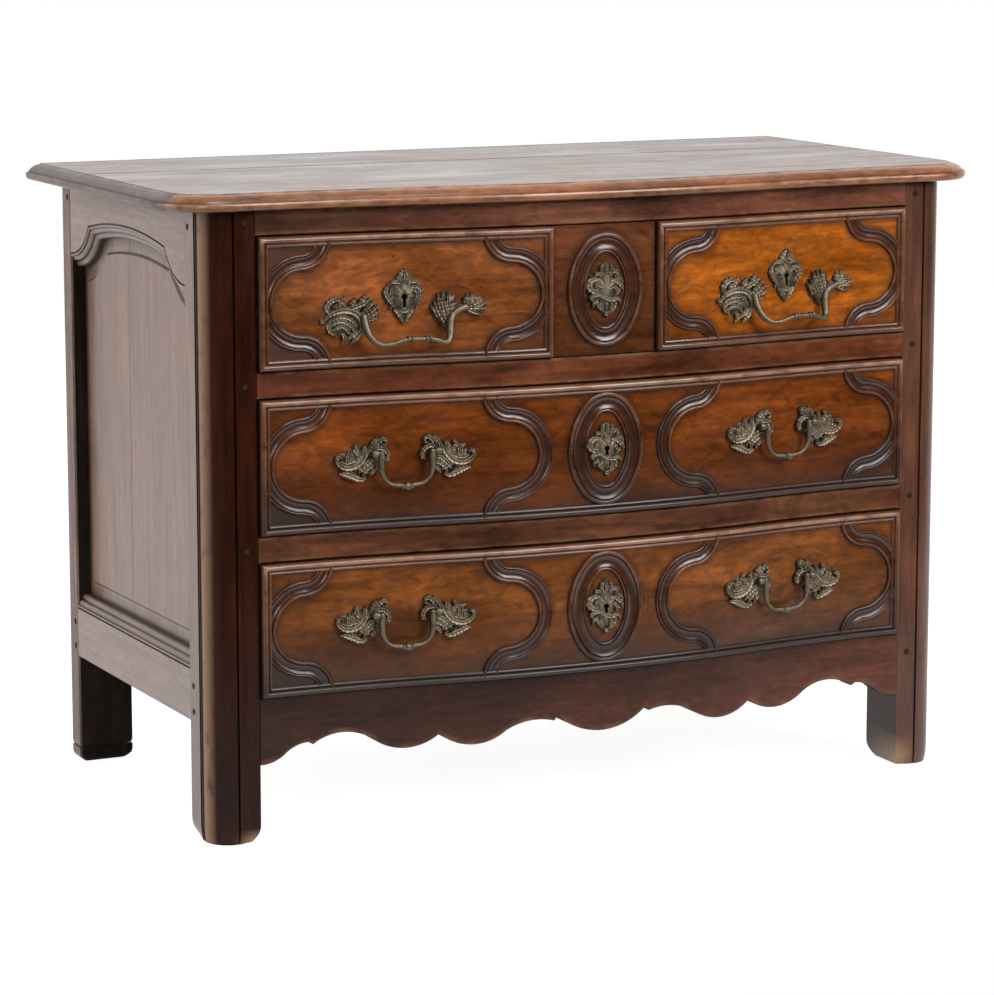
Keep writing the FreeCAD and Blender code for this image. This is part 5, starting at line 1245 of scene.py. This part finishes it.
# Rings of a plate: raised round the keyhole, a hollow, and a thin rim
RIM = ((0.86, 2.6), (0.96, 2.4), (0.98, 1.6), (0.98, -4))
PIERCED = ((0, -2), (0, 4.6), (0.04, 5.2), (0.2, 5.2), (0.32, 4.2), (0.55, 3.4), (0.74, 2.2), *RIM)
BLIND = ((0, 5.4), (0.2, 5.2), (0.4, 4.4), (0.6, 3.4), (0.76, 2.2), *RIM)
# flat sheet behind a pierced plate that shows as painted shade through its keyhole
BACKING = ((0, 0.4), (1, 0.4))
PLATE_SHARE, BACKING_SHARE = 0.94, 0.45
# Leaves of the upper plates and of the lower ones: line, half widths and heights
UPPER_LEAVES = (
    (((-23, 16), (-28, 6), (-20, -6), (-13, -15)), (1.5, 3.6, 3.2, 1.2), (4, 7, 7, 4)),
    (((11, 13), (23, 12), (25, 0), (17, -12)), (1.5, 3.4, 3.2, 1.2), (4, 7, 7, 4)),
    (((9, 10), (17, 8), (19, -1), (13, -9)), (1.2, 2.4, 2.4, 1), (4, 7, 7, 4)),
    (((-10, 20), (-6, 29), (1, 38)), (3, 3.2, 0.6), (5, 6.5, 4)),
    (((10, 20), (7, 29), (1, 38)), (3, 3.2, 0.6), (5, 6.5, 4)),
    (((0, 18), (1, 26), (1, 34)), (2.4, 3, 0.8), (6, 8, 5)),
    (((-22, 17), (-14, 21), (-5, 18)), (1.2, 3, 1.5), (4, 6.5, 5)),
    (((22, 17), (14, 21), (5, 18)), (1.2, 3, 1.5), (4, 6.5, 5)),
    (((-13, -17), (-7, -24), (-1, -37)), (2.6, 3.6, 0.6), (5, 6.5, 4)),
    (((13, -17), (7, -24), (-1, -37)), (2.6, 3.6, 0.6), (5, 6.5, 4)),
    (((-9, -18), (0, -21), (9, -18)), (1.2, 2.8, 1.2), (4, 6.5, 4)),
    (((-6, -22), (-4, -28), (-1, -35)), (1.6, 2.6, 0.8), (5, 6.5, 4)),
    (((5, -22), (4, -28), (1, -35)), (1.6, 2.6, 0.8), (5, 6.5, 4)),
    (((-17, 14), (-20, 4), (-14, -5)), (1.2, 2.4, 1), (4, 6.5, 4)),
    (((-5, 16), (-4, 23), (-4, 30)), (1.6, 2.6, 0.8), (5, 7, 5)),
    (((5, 16), (5, 23), (6, 30)), (1.6, 2.6, 0.8), (5, 7, 5)),
)
UPPER_BUDS = (((3, -31), 2.4, 7.5), ((-19, -14), 2.2, 6.5), ((18, -15), 2, 6), ((-24, 13), 2, 6.5),
              ((24, 13), 2, 6.5))
LOWER_LEAVES = (
    (((-5, 22), (-8, 30), (-3, 37)), (2.4, 3.2, 0.8), (5, 7.5, 5)),
    (((0, 22), (0, 31), (1, 38)), (2.4, 3, 0.8), (6, 8, 5)),
    (((5, 22), (9, 29), (5, 35)), (2.4, 3, 0.8), (5, 7.5, 5)),
    (((6, 19), (12, 26), (18, 22), (13, 17)), (1.8, 2.8, 2.8, 1.2), (5, 7, 8, 6)),
    (((-7, 18), (-14, 24), (-19, 18)), (1.8, 2.8, 1), (5, 7, 5)),
    (((-10, 15), (-24, 14), (-28, 4), (-20, -3), (-9, -5)), (1.5, 4.2, 4.6, 4, 1.5), (4, 7, 7.5, 7, 4)),
    (((-8, 8), (-17, 7), (-17, 1), (-9, 0)), (1.2, 2.2, 2.2, 1), (4, 6.5, 6.5, 4)),
    (((-6, -7), (-18, -7), (-25, -11), (-19, -15)), (1.6, 3, 2.8, 1.2), (5, 7, 8, 6)),
    (((8, 13), (16, 11), (25, 3), (26, -4)), (1.6, 3.6, 3.4, 1), (4, 7, 7, 5)),
    (((8, 5), (14, 3), (18, -4), (14, -9)), (1.2, 3, 2.6, 1), (4, 7, 7, 5)),
    (((-9, -8), (0, -13), (11, -16), (18, -12)), (1.6, 3, 3, 1.2), (5, 7.5, 7, 5)),
    (((-15, -13), (-13, -22), (-5, -31)), (1.6, 2.8, 1.2), (5, 7, 5)),
    (((15, -15), (14, -24), (5, -33)), (1.6, 2.8, 1.2), (5, 7, 5)),
    (((0, -15), (1, -22), (0, -29)), (1.4, 2.4, 1), (5, 6.5, 5)),
    (((-8, -15), (-8, -23), (-4, -31)), (1.6, 2.8, 1), (5, 6.5, 5)),
    (((8, -16), (8, -24), (4, -32)), (1.6, 2.8, 1), (5, 6.5, 5)),
    (((12, -11), (20, -14), (23, -20)), (1.6, 2.8, 1), (5, 7, 5)),
    (((-14, -15), (-20, -19), (-19, -25)), (1.6, 2.8, 1), (5, 7, 5)),
    (((16, 16), (23, 14), (26, 8)), (1.6, 2.8, 1), (5, 7, 5)),
    (((-3, 15), (-4, 21), (-10, 28)), (1.6, 2.6, 1), (5, 7, 5)),
)
LOWER_BUDS = (((19, -2), 3, 9), ((0, -34), 3.4, 8), ((-24, -10), 2.4, 9), ((17, 21), 2.2, 9),
              ((-2, 36), 2, 7))
ESCUTCHEONS = {
    "top_left": (-HANDLE_PLACE, "top", True),
    "top_centre": (0.0, "top", False),
    "top_right": (HANDLE_PLACE, "top", True),
    "middle": (0.0, "middle", True),
    "bottom": (0.0, "bottom", True),
}
for name, (x, level, pierced) in ESCUTCHEONS.items():
    floor, opening = LEVELS[level]
    upper = x != 0
    lift = FIELD_PROUD if name != "top_centre" else 0.0
    turn = math.asin((OPEN - abs(x)) / BOW_RADIUS) * np.sign(x) if upper else 0.0
    place = (x, FACE - lift - float(swell(x)), floor + opening / 2 + (PLATE_RISE if upper else 0))
    leaves, buds = (UPPER_LEAVES, UPPER_BUDS) if upper else (LOWER_LEAVES, LOWER_BUDS)
    sheets = [frond(*leaf, place, turn) for leaf in leaves]
    sheets += [bud(*berry, place, turn) for berry in buds]
    profile, hole = (PIERCED, keyhole) if pierced else (BLIND, None)
    sheets.append(plate(shield * PLATE_SHARE, profile, place, turn, hole))
    if pierced:
        sheets.append(plate(shield * BACKING_SHARE, BACKING, place, turn, finish=1))
    piece(f"{name}_key_plate", sheets, [BRONZE, KEYHOLE_SHADE], f"{name}_drawer", "bronze",
          f"{name}_escutcheon")

# Handle mounts
# Pairs of cast leaves set on the wide drawers, mirrored about each handle: a crescent scroll with
# a curled tip, lobes above, a curl at the inner top, and a boss that takes the end of the bail.

HANDLE_RISE = 13.0
MOUNT_PLACE = 64.0
PIVOT_HALF, PIVOT_STAND, BOSS_LENGTH = 41.0, 13.0, 9.0
BOSS_RADII = (4.6, 5.3, 5.5, 5.3, 4.2)
NECK_STANDS, NECK_RADII = (-2.0, 6.0, PIVOT_STAND), (6.5, 5.0, 4.2)
MOUNT_SHELL = ((-66, -9), 30, 18)  # middle, half width and half height of the plate behind the leaves
MOUNT_LEAVES = (
    (((-53, 7), (-58, -5), (-69, -17), (-85, -20), (-96, -13), (-99, -6), (-95, -1), (-91, -5)),
     (2, 4.4, 5.4, 5, 4.4, 3.4, 2.6, 1.4), (5, 8, 9.5, 9, 9, 9.5, 9.5, 8)),
    (((-60, 6), (-65, -5), (-75, -11), (-87, -12), (-92, -8)), (1.8, 3, 3, 2.4, 1), (5, 7, 7, 6.5, 5)),
    (((-63, -3), (-70, 1), (-73, 8), (-69, 12)), (2.2, 3.6, 3, 1), (5, 7.5, 8, 6)),
    (((-58, -3), (-60, 6), (-56, 12)), (2.2, 3.2, 1), (6, 8.5, 7)),
    (((-51, -3), (-51, 6), (-46, 12)), (2.2, 3.2, 1), (6, 8.5, 7)),
    (((-46, 2), (-42, 9), (-37, 17), (-30, 20), (-27, 14), (-31, 10), (-34, 14)),
     (2.2, 3.4, 3.4, 3, 2.4, 1.8, 1), (5, 7, 8, 8.5, 8.5, 8, 7)),
    (((-45, 3), (-38, 7), (-30, 5), (-24, -2), (-24, -10), (-29, -12)), (2.2, 3.2, 3.4, 3.2, 2.8, 1.6),
     (6, 7.5, 8, 8, 7.5, 6)),
    (((-42, -8), (-52, -11), (-60, -18), (-67, -27)), (2.8, 4.2, 3.6, 1.2), (7, 8.5, 7.5, 5)),
    (((-41, -15), (-51, -18), (-58, -25), (-61, -32)), (2.8, 3.8, 3.2, 1), (6, 7.5, 6.5, 5)),
    (((-40, -20), (-47, -25), (-51, -32)), (2.4, 3.2, 1), (6, 7, 5)),
    (((-94, -26), (-85, -27), (-75, -31), (-66, -36), (-58, -35), (-57, -30)),
     (1.2, 4.2, 5.2, 4.6, 3, 1.2), (5, 8, 9, 8.5, 8, 6)),
    (((-88, -22), (-78, -25), (-69, -28)), (1.2, 3.2, 1.2), (5, 7, 5)),
    (((-80, -14), (-84, -4), (-80, 4)), (2, 3.4, 1), (6, 8, 6)),
    (((-74, -12), (-78, -2), (-75, 6)), (2, 3.2, 1), (6, 8, 6)),
    (((-70, -16), (-61, -23), (-52, -27)), (2, 3, 1), (6, 8, 6)),
    (((-50, 8), (-45, 15), (-40, 21)), (2, 3.2, 1), (6, 8, 6)),
)
MOUNT_BUDS = (((-26, -8), 3.4, 8.5), ((-97, -4), 3.2, 10), ((-70, 11), 2.4, 8), ((-47, 11), 2.2, 8),
              ((-29, 18), 2.6, 9.5))
LEAF_RINGS = ((0, 4.2), (0.4, 4.0), (0.7, 3.0), (0.95, 1.6), (1, 0.6), (1, -4))
LEAF_WAVES, WAVE, RIPPLE = 7, 0.11, 0.06


def wavy(half, tall):
    """Outline of a leaf plate: an ellipse whose radius swells and sinks in two cosines."""
    angle = np.linspace(-np.pi, np.pi, 120, endpoint=False)
    radius = 1 + WAVE * np.cos(LEAF_WAVES * angle) + RIPPLE * np.cos(2 * LEAF_WAVES * angle + 1)
    return np.stack([half * radius * np.cos(angle), tall * radius * np.sin(angle)], 1)


def stand(half, sign, z):
    """Place and turn of a handle: the middle and the slope of the chord between its feet."""
    near, far = float(swell(HANDLE_PLACE - half)), float(swell(HANDLE_PLACE + half))
    place = (sign * HANDLE_PLACE, FACE - FIELD_PROUD - (near + far) / 2, z)
    return place, sign * math.atan((near - far) / (2 * half))


def offset(place, turn, across, up):
    """Place moved along a handle's own directions."""
    return tuple(seated(np.array([across, up, 0.0]), place, turn))


for level in ("middle", "bottom"):
    floor, opening = LEVELS[level]
    sheets = []
    for sign in SIDES.values():
        place, turn = stand(MOUNT_PLACE, sign, floor + opening / 2 + HANDLE_RISE)
        for hand in (1, -1):
            sheets += [frond(*leaf, place, turn, hand) for leaf in MOUNT_LEAVES]
            sheets += [bud((u * hand, w), *sizes, place, turn) for (u, w), *sizes in MOUNT_BUDS]
            (u, w), half, tall = MOUNT_SHELL
            sheets.append(plate(wavy(half, tall), LEAF_RINGS, offset(place, turn, u * hand, w), turn))
            boss = -hand * (PIVOT_HALF + BOSS_LENGTH * np.array([0, 0.5, 1]))
            sheets.append(bar([(u, 0.0, PIVOT_STAND) for u in boss], BOSS_RADII, place, turn, 14))
            sheets.append(bar([(boss[1], 0.0, out) for out in NECK_STANDS], NECK_RADII, place, turn, 10))
    piece(f"{level}_leaf_mounts", sheets, [BRONZE], f"{level}_drawer", "bronze", f"{level}_handle_mounts")

# Bails
# Thin cast bronze drops hung by their pins between the bosses, each with a leaf knob at the middle.
# They hang free and swing up to the hand.

BAIL_HALF, BAIL_DROP, PIN_RADIUS, PIN_REACH = 36.4, 46.0, 2.7, 11.6
BAIL_LINE = ((BAIL_HALF, 1.0), (BAIL_HALF, -8.0), (37.0, -20.0), (34.0, -33.0), (24.0, -43.5),
             (11.0, -45.0), (0.0, -BAIL_DROP))
BAIL_RADII = (4.2, 5.0, 4.0, 4.4, 3.4, 2.9, 2.6, 2.7, 3.1, 3.0)
KNOB_HALF, KNOB_LOW = 9.0, 0.5
KNOB_RADII = (2.6, 4.6, 3.4, 5.8, 5.9, 5.8, 3.4, 4.6, 2.6)
# Leaf under the knob: across, up, and out from the pivot
DROP_LINE = ((1.0, -BAIL_DROP, 1.0), (2.0, -49.0, 1.5), (2.5, -51.8, 1.0))
DROP_RADII = (3.6, 3.8, 3.2, 0.8)
EYE = 4.1
EYE_RADII = EYE * np.sqrt(1 - np.linspace(-0.98, 0.98, 11) ** 2)
for level in ("middle", "bottom"):
    floor, opening = LEVELS[level]
    for side, sign in SIDES.items():
        place, turn = stand(MOUNT_PLACE, sign, floor + opening / 2 + HANDLE_RISE)
        line = [(-u, w, PIVOT_STAND) for u, w in BAIL_LINE]
        line += [(u, w, PIVOT_STAND) for u, w in BAIL_LINE[-2::-1]]
        sheets = [bar(line, BAIL_RADII + BAIL_RADII[::-1], place, turn, 110)]
        knob = [(u, -BAIL_DROP - KNOB_LOW, PIVOT_STAND) for u in (-KNOB_HALF, 0.0, KNOB_HALF)]
        sheets.append(bar(knob, KNOB_RADII, place, turn, 40))
        drop = [(u, w, PIVOT_STAND + out) for u, w, out in DROP_LINE]
        sheets.append(bar(drop, DROP_RADII, place, turn, 16))
        for hand in (-1, 1):
            eye = [(hand * (BAIL_HALF + u), 0.0, PIVOT_STAND) for u in (-EYE, 0.0, EYE)]
            sheets.append(bar(eye, EYE_RADII, place, turn, 24))
            pin = [(hand * (BAIL_HALF + u), 0.0, PIVOT_STAND) for u in (0.0, PIN_REACH)]
            sheets.append(bar(pin, (PIN_RADIUS, PIN_RADIUS), place, turn, 4))
        piece(f"{level}_{side}_drop", sheets, [BRONZE], f"{level}_{side}_bail_swing", "bronze",
              f"{level}_{side}_bail")

# Fixed pulls
# One casting on each upper drawer, the same way round on both: a fluted shell with a fan of leaves,
# a bar that springs from it and dips, and an upright leaf with an arm to a smaller leaf outside.

PULL_HALF, PULL_FALL = 62.0, 18.0
PULL_LEAVES = (
    (((-114, -9), (-107, 0), (-91, 6), (-73, 4), (-61, -7), (-58, -25)), (1.6, 4, 5, 5, 4.6, 2.6),
     (5, 9, 11, 11, 10, 6)),
    (((-107, -9), (-92, -2), (-77, -5), (-66, -18)), (1.6, 3.6, 3.6, 1.6), (5, 8, 8, 5)),
    (((-105, -15), (-92, -8), (-80, -12), (-71, -23)), (1.6, 3.4, 3.4, 1.4), (5, 7.5, 7.5, 5)),
    (((-101, -21), (-90, -15), (-82, -19), (-76, -29)), (1.6, 3.2, 3.2, 1.2), (5, 7, 7, 5)),
    (((-104, 2), (-111, 8), (-107, 17), (-95, 22), (-88, 18)), (2.2, 4, 4, 3, 0.8), (5, 7, 8, 8, 6)),
    (((-99, 4), (-99, 11), (-92, 16)), (2.2, 3.2, 1), (5, 7, 5)),
    (((-86, 6), (-69, 10), (-57, 14), (-48, 21)), (2, 3.6, 3.6, 0.8), (6, 9, 9, 6)),
    (((-60, 0), (-53, 9), (-43, 17)), (2.2, 3.6, 0.8), (7, 10, 7)),
    (((-58, -3), (-48, 4), (-37, 11)), (2.2, 3.6, 0.8), (7, 10, 7)),
    (((-57, -6), (-46, -1), (-34, 4)), (2.2, 3.4, 0.8), (7, 10, 7)),
    (((-57, -10), (-46, -7), (-37, -6)), (2.2, 3, 0.8), (7, 9, 6)),
    (((-60, -20), (-66, -30), (-77, -41)), (3.2, 4.4, 0.8), (6, 8, 5)),
    (((-66, -22), (-74, -30), (-84, -34)), (2.2, 3.4, 0.8), (5, 7, 5)),
    (((62, -24), (50, -4), (41, 14)), (2.6, 5, 0.8), (8, 11, 7)),
    (((62, -22), (55, 3), (53, 25)), (2.6, 5, 0.8), (8, 12, 7)),
    (((63, -20), (63, -2), (67, 13)), (2.6, 4.6, 0.8), (8, 11, 7)),
    (((64, -18), (71, -4), (77, 8)), (2.4, 4.2, 0.8), (8, 10, 6)),
    (((57, -10), (46, -7), (42, 2)), (2.2, 3.4, 0.8), (6, 8, 6)),
    (((86, 4), (87, 13), (90, 22)), (2.4, 3.8, 0.8), (6, 8.5, 5)),
    (((87, 4), (95, 13), (101, 20)), (2.4, 3.8, 0.8), (6, 9, 5)),
    (((88, 3), (100, 9), (112, 14)), (2.4, 3.8, 0.8), (6, 9, 5)),
    (((88, 2), (104, 3), (119, 0)), (2.4, 3.8, 0.8), (6, 9, 5)),
    (((88, 1), (100, -4), (110, -8)), (2.4, 3.4, 0.8), (6, 8, 5)),
    (((-96, 6), (-91, 16), (-84, 24)), (2.4, 3.8, 0.8), (6, 8, 6)),
    (((-79, 8), (-74, 15), (-69, 22)), (2.4, 3.6, 0.8), (6, 8, 6)),
    (((-66, 8), (-61, 17), (-55, 26)), (2.4, 3.8, 0.8), (6, 9, 6)),
    (((-109, -12), (-107, -22), (-98, -28)), (2.2, 3.6, 0.8), (5, 8, 5)),
    (((-88, -25), (-84, -33), (-90, -40)), (2.4, 3.6, 0.8), (5, 8, 5)),
    (((58, -10), (49, 8), (47, 24)), (2.6, 4.2, 0.8), (8, 11, 7)),
    (((65, -10), (61, 8), (61, 26)), (2.6, 4.2, 0.8), (8, 11, 7)),
    (((53, -4), (43, 0), (37, 8)), (2.2, 3.6, 0.8), (7, 9, 6)),
    (((69, -6), (77, 0), (81, 9)), (2.2, 3.4, 0.8), (7, 9, 6)),
    (((91, 4), (93, 14), (97, 23)), (2.4, 3.6, 0.8), (6, 9, 6)),
    (((94, 2), (107, 6), (117, 9)), (2.4, 3.6, 0.8), (6, 9, 6)),
)
PULL_BUDS = (((-117, -8), 3.2, 9), ((-94, 20), 2.4, 9), ((-48, 19), 2.2, 8))
PULL_LINE = (
    (-59, -2, 7), (-58, -16, 11), (-53, -31, 18), (-41, -42, 24), (-24, -41, 27), (-10, -36, 27),
    (3, -34, 27), (25, -35, 27), (37, -36, 26), (48, -41, 24), (57, -41, 20), (61, -34, 16), (62, -22, 12),
    (64, -10, 10), (71, -2, 8),
)
PULL_RADII = (5.4, 5.4, 4.8, 4.0, 3.5, 3.3, 3.2, 3.2, 3.3, 3.6, 4.0, 4.6, 5.8, 5.6, 3.6)
PULL_RINGS, RING_HALF, RING_LINE = (-2.0, 4.0, 24.0, 30.0), 2.2, (-34.6, 27.0)
RING_RADII = (3.4, 4.8, 5.2, 4.8, 3.4)
PULL_ARM, ARM_RADII = ((66, -7, 8), (76, 1, 8), (88, 4, 6)), (5.2, 4.6, 4.4, 5.0)
# Plates behind the leaves: middle, half width and half height
PULL_SHELLS = (((-82, -7), 32, 22), ((60, 1), 18, 22), ((99, 6), 17, 13))
for side, sign in SIDES.items():
    floor, opening = LEVELS["top"]
    place, turn = stand(PULL_HALF, sign, floor + opening / 2 - PULL_FALL)
    sheets = [frond(*leaf, place, turn) for leaf in PULL_LEAVES]
    sheets += [bud(*berry, place, turn) for berry in PULL_BUDS]
    for middle, half, tall in PULL_SHELLS:
        sheets.append(plate(wavy(half, tall), LEAF_RINGS, offset(place, turn, *middle), turn))
    sheets.append(bar(PULL_LINE, PULL_RADII, place, turn, 120))
    sheets.append(bar(PULL_ARM, ARM_RADII, place, turn, 20))
    for u in PULL_RINGS:
        ring = [(u + step, *RING_LINE) for step in (-RING_HALF, 0, RING_HALF)]
        sheets.append(bar(ring, RING_RADII, place, turn, 14))
    piece(f"top_{side}_cast_pull", sheets, [BRONZE], f"top_{side}_drawer", "bronze", f"top_{side}_pull")

# Room
# A pale floor and a bright soft surround behind and beside the chest, dim towards the front, with
# one large lamp to the right, one above the front, and weaker ones to the left.

FLOOR_HALF, FLOOR_FRONT, FLOOR_REAR = 5.0, -1.15, 5.0
corners = [(-FLOOR_HALF, FLOOR_FRONT, 0), (FLOOR_HALF, FLOOR_FRONT, 0), (FLOOR_HALF, FLOOR_REAR, 0),
           (-FLOOR_HALF, FLOOR_REAR, 0)]
mesh = bpy.data.meshes.new("floor")
mesh.from_pydata(corners, [], [(0, 1, 2, 3)])
floor = bpy.data.objects.new("floor", mesh)
bpy.context.scene.collection.objects.link(floor)
material, tree = blank("pale_floor")
matt = node(tree, "BsdfDiffuse", {"Color": paint((0.28, 0.28, 0.28))}).outputs[0]
glow = node(tree, "Emission", {"Color": paint((1.0, 1.0, 1.0)), "Strength": 0.92}).outputs[0]
lit = node(tree, "AddShader", {0: matt, 1: glow}).outputs[0]
plain = node(tree, "BsdfDiffuse", {"Color": paint((0.7, 0.7, 0.7))}).outputs[0]
rays = node(tree, "LightPath")
seen = joined(tree, "MAXIMUM", rays.outputs["Is Camera Ray"], rays.outputs["Is Glossy Ray"])
seen = joined(tree, "MAXIMUM", seen, rays.outputs["Is Transmission Ray"])
shown = node(tree, "MixShader", {0: seen, 1: plain, 2: lit}).outputs[0]
node(tree, "OutputMaterial", {"Surface": shown})
mesh.materials.append(material)

world = bpy.data.worlds.new("studio")
bpy.context.scene.world = world
world.use_nodes = True
tree = world.node_tree
tree.nodes.clear()
towards = node(tree, "TexCoord").outputs["Generated"]
depth = node(tree, "SeparateXYZ", {0: towards}).outputs["Y"]
beside = spread(tree, depth, -0.35, 0.15, 0.03, 0.6)
behind = spread(tree, depth, 0.15, 0.6, 0.0, 0.4)
surround = joined(tree, "ADD", beside, behind)
rays = node(tree, "LightPath")
seen = joined(tree, "MAXIMUM", rays.outputs["Is Camera Ray"], rays.outputs["Is Transmission Ray"])
strength = joined(tree, "MAXIMUM", seen, surround)
back_light = node(tree, "Background", {"Color": paint((1.0, 1.0, 1.0)), "Strength": strength})
node(tree, "OutputWorld", {"Surface": back_light.outputs[0]})


def lamp(name, place, target, size, power):
    """Square soft lamp turned to a point, by the angles of the line from there to its place."""
    data = bpy.data.lights.new(name, "AREA")
    data.shape = "SQUARE"
    data.size = size
    data.energy = power
    made = bpy.data.objects.new(name, data)
    bpy.context.scene.collection.objects.link(made)
    made.location = place
    away = np.array(place) - np.array(target)
    flat = math.hypot(away[0], away[1])
    made.rotation_euler = (math.atan2(flat, away[2]), 0, math.atan2(away[1], away[0]) + math.pi / 2)


lamp("key_lamp", (1.8, -3.6, 2.7), (0.0, -0.2, 0.5), 2.0, 185.0)
lamp("upper_lamp", (-0.3, -1.35, 2.9), (-0.1, -0.3, 0.7), 1.2, 40.0)
lamp("fill_lamp", (-2.4, -3.6, 1.8), (0.0, -0.2, 0.4), 1.2, 30.0)
lamp("side_lamp", (-3.4, 0.9, 1.7), (-0.6, 0.1, 0.5), 2.0, 55.0)

# Camera
# A long lens from the left front, a little above the top, set where lines of the chest meet the
# picture as they do in the photograph.

CAMERA_PLACE = (-2.36942, -4.90328, 1.33977)
CAMERA_DOWN, CAMERA_TURN = 9.78, -25.57  # degrees
CAMERA_LENS, CAMERA_WIDTH = 136.24, 36.0
camera = bpy.data.cameras.new("camera")
camera.sensor_fit = "HORIZONTAL"
camera.sensor_width = CAMERA_WIDTH
camera.lens = CAMERA_LENS
viewer = bpy.data.objects.new("camera", camera)
bpy.context.scene.collection.objects.link(viewer)
viewer.location = CAMERA_PLACE
viewer.rotation_euler = (math.radians(90 - CAMERA_DOWN), 0.0, math.radians(CAMERA_TURN))
bpy.context.scene.camera = viewer
bpy.context.scene.view_settings.view_transform = "Standard"
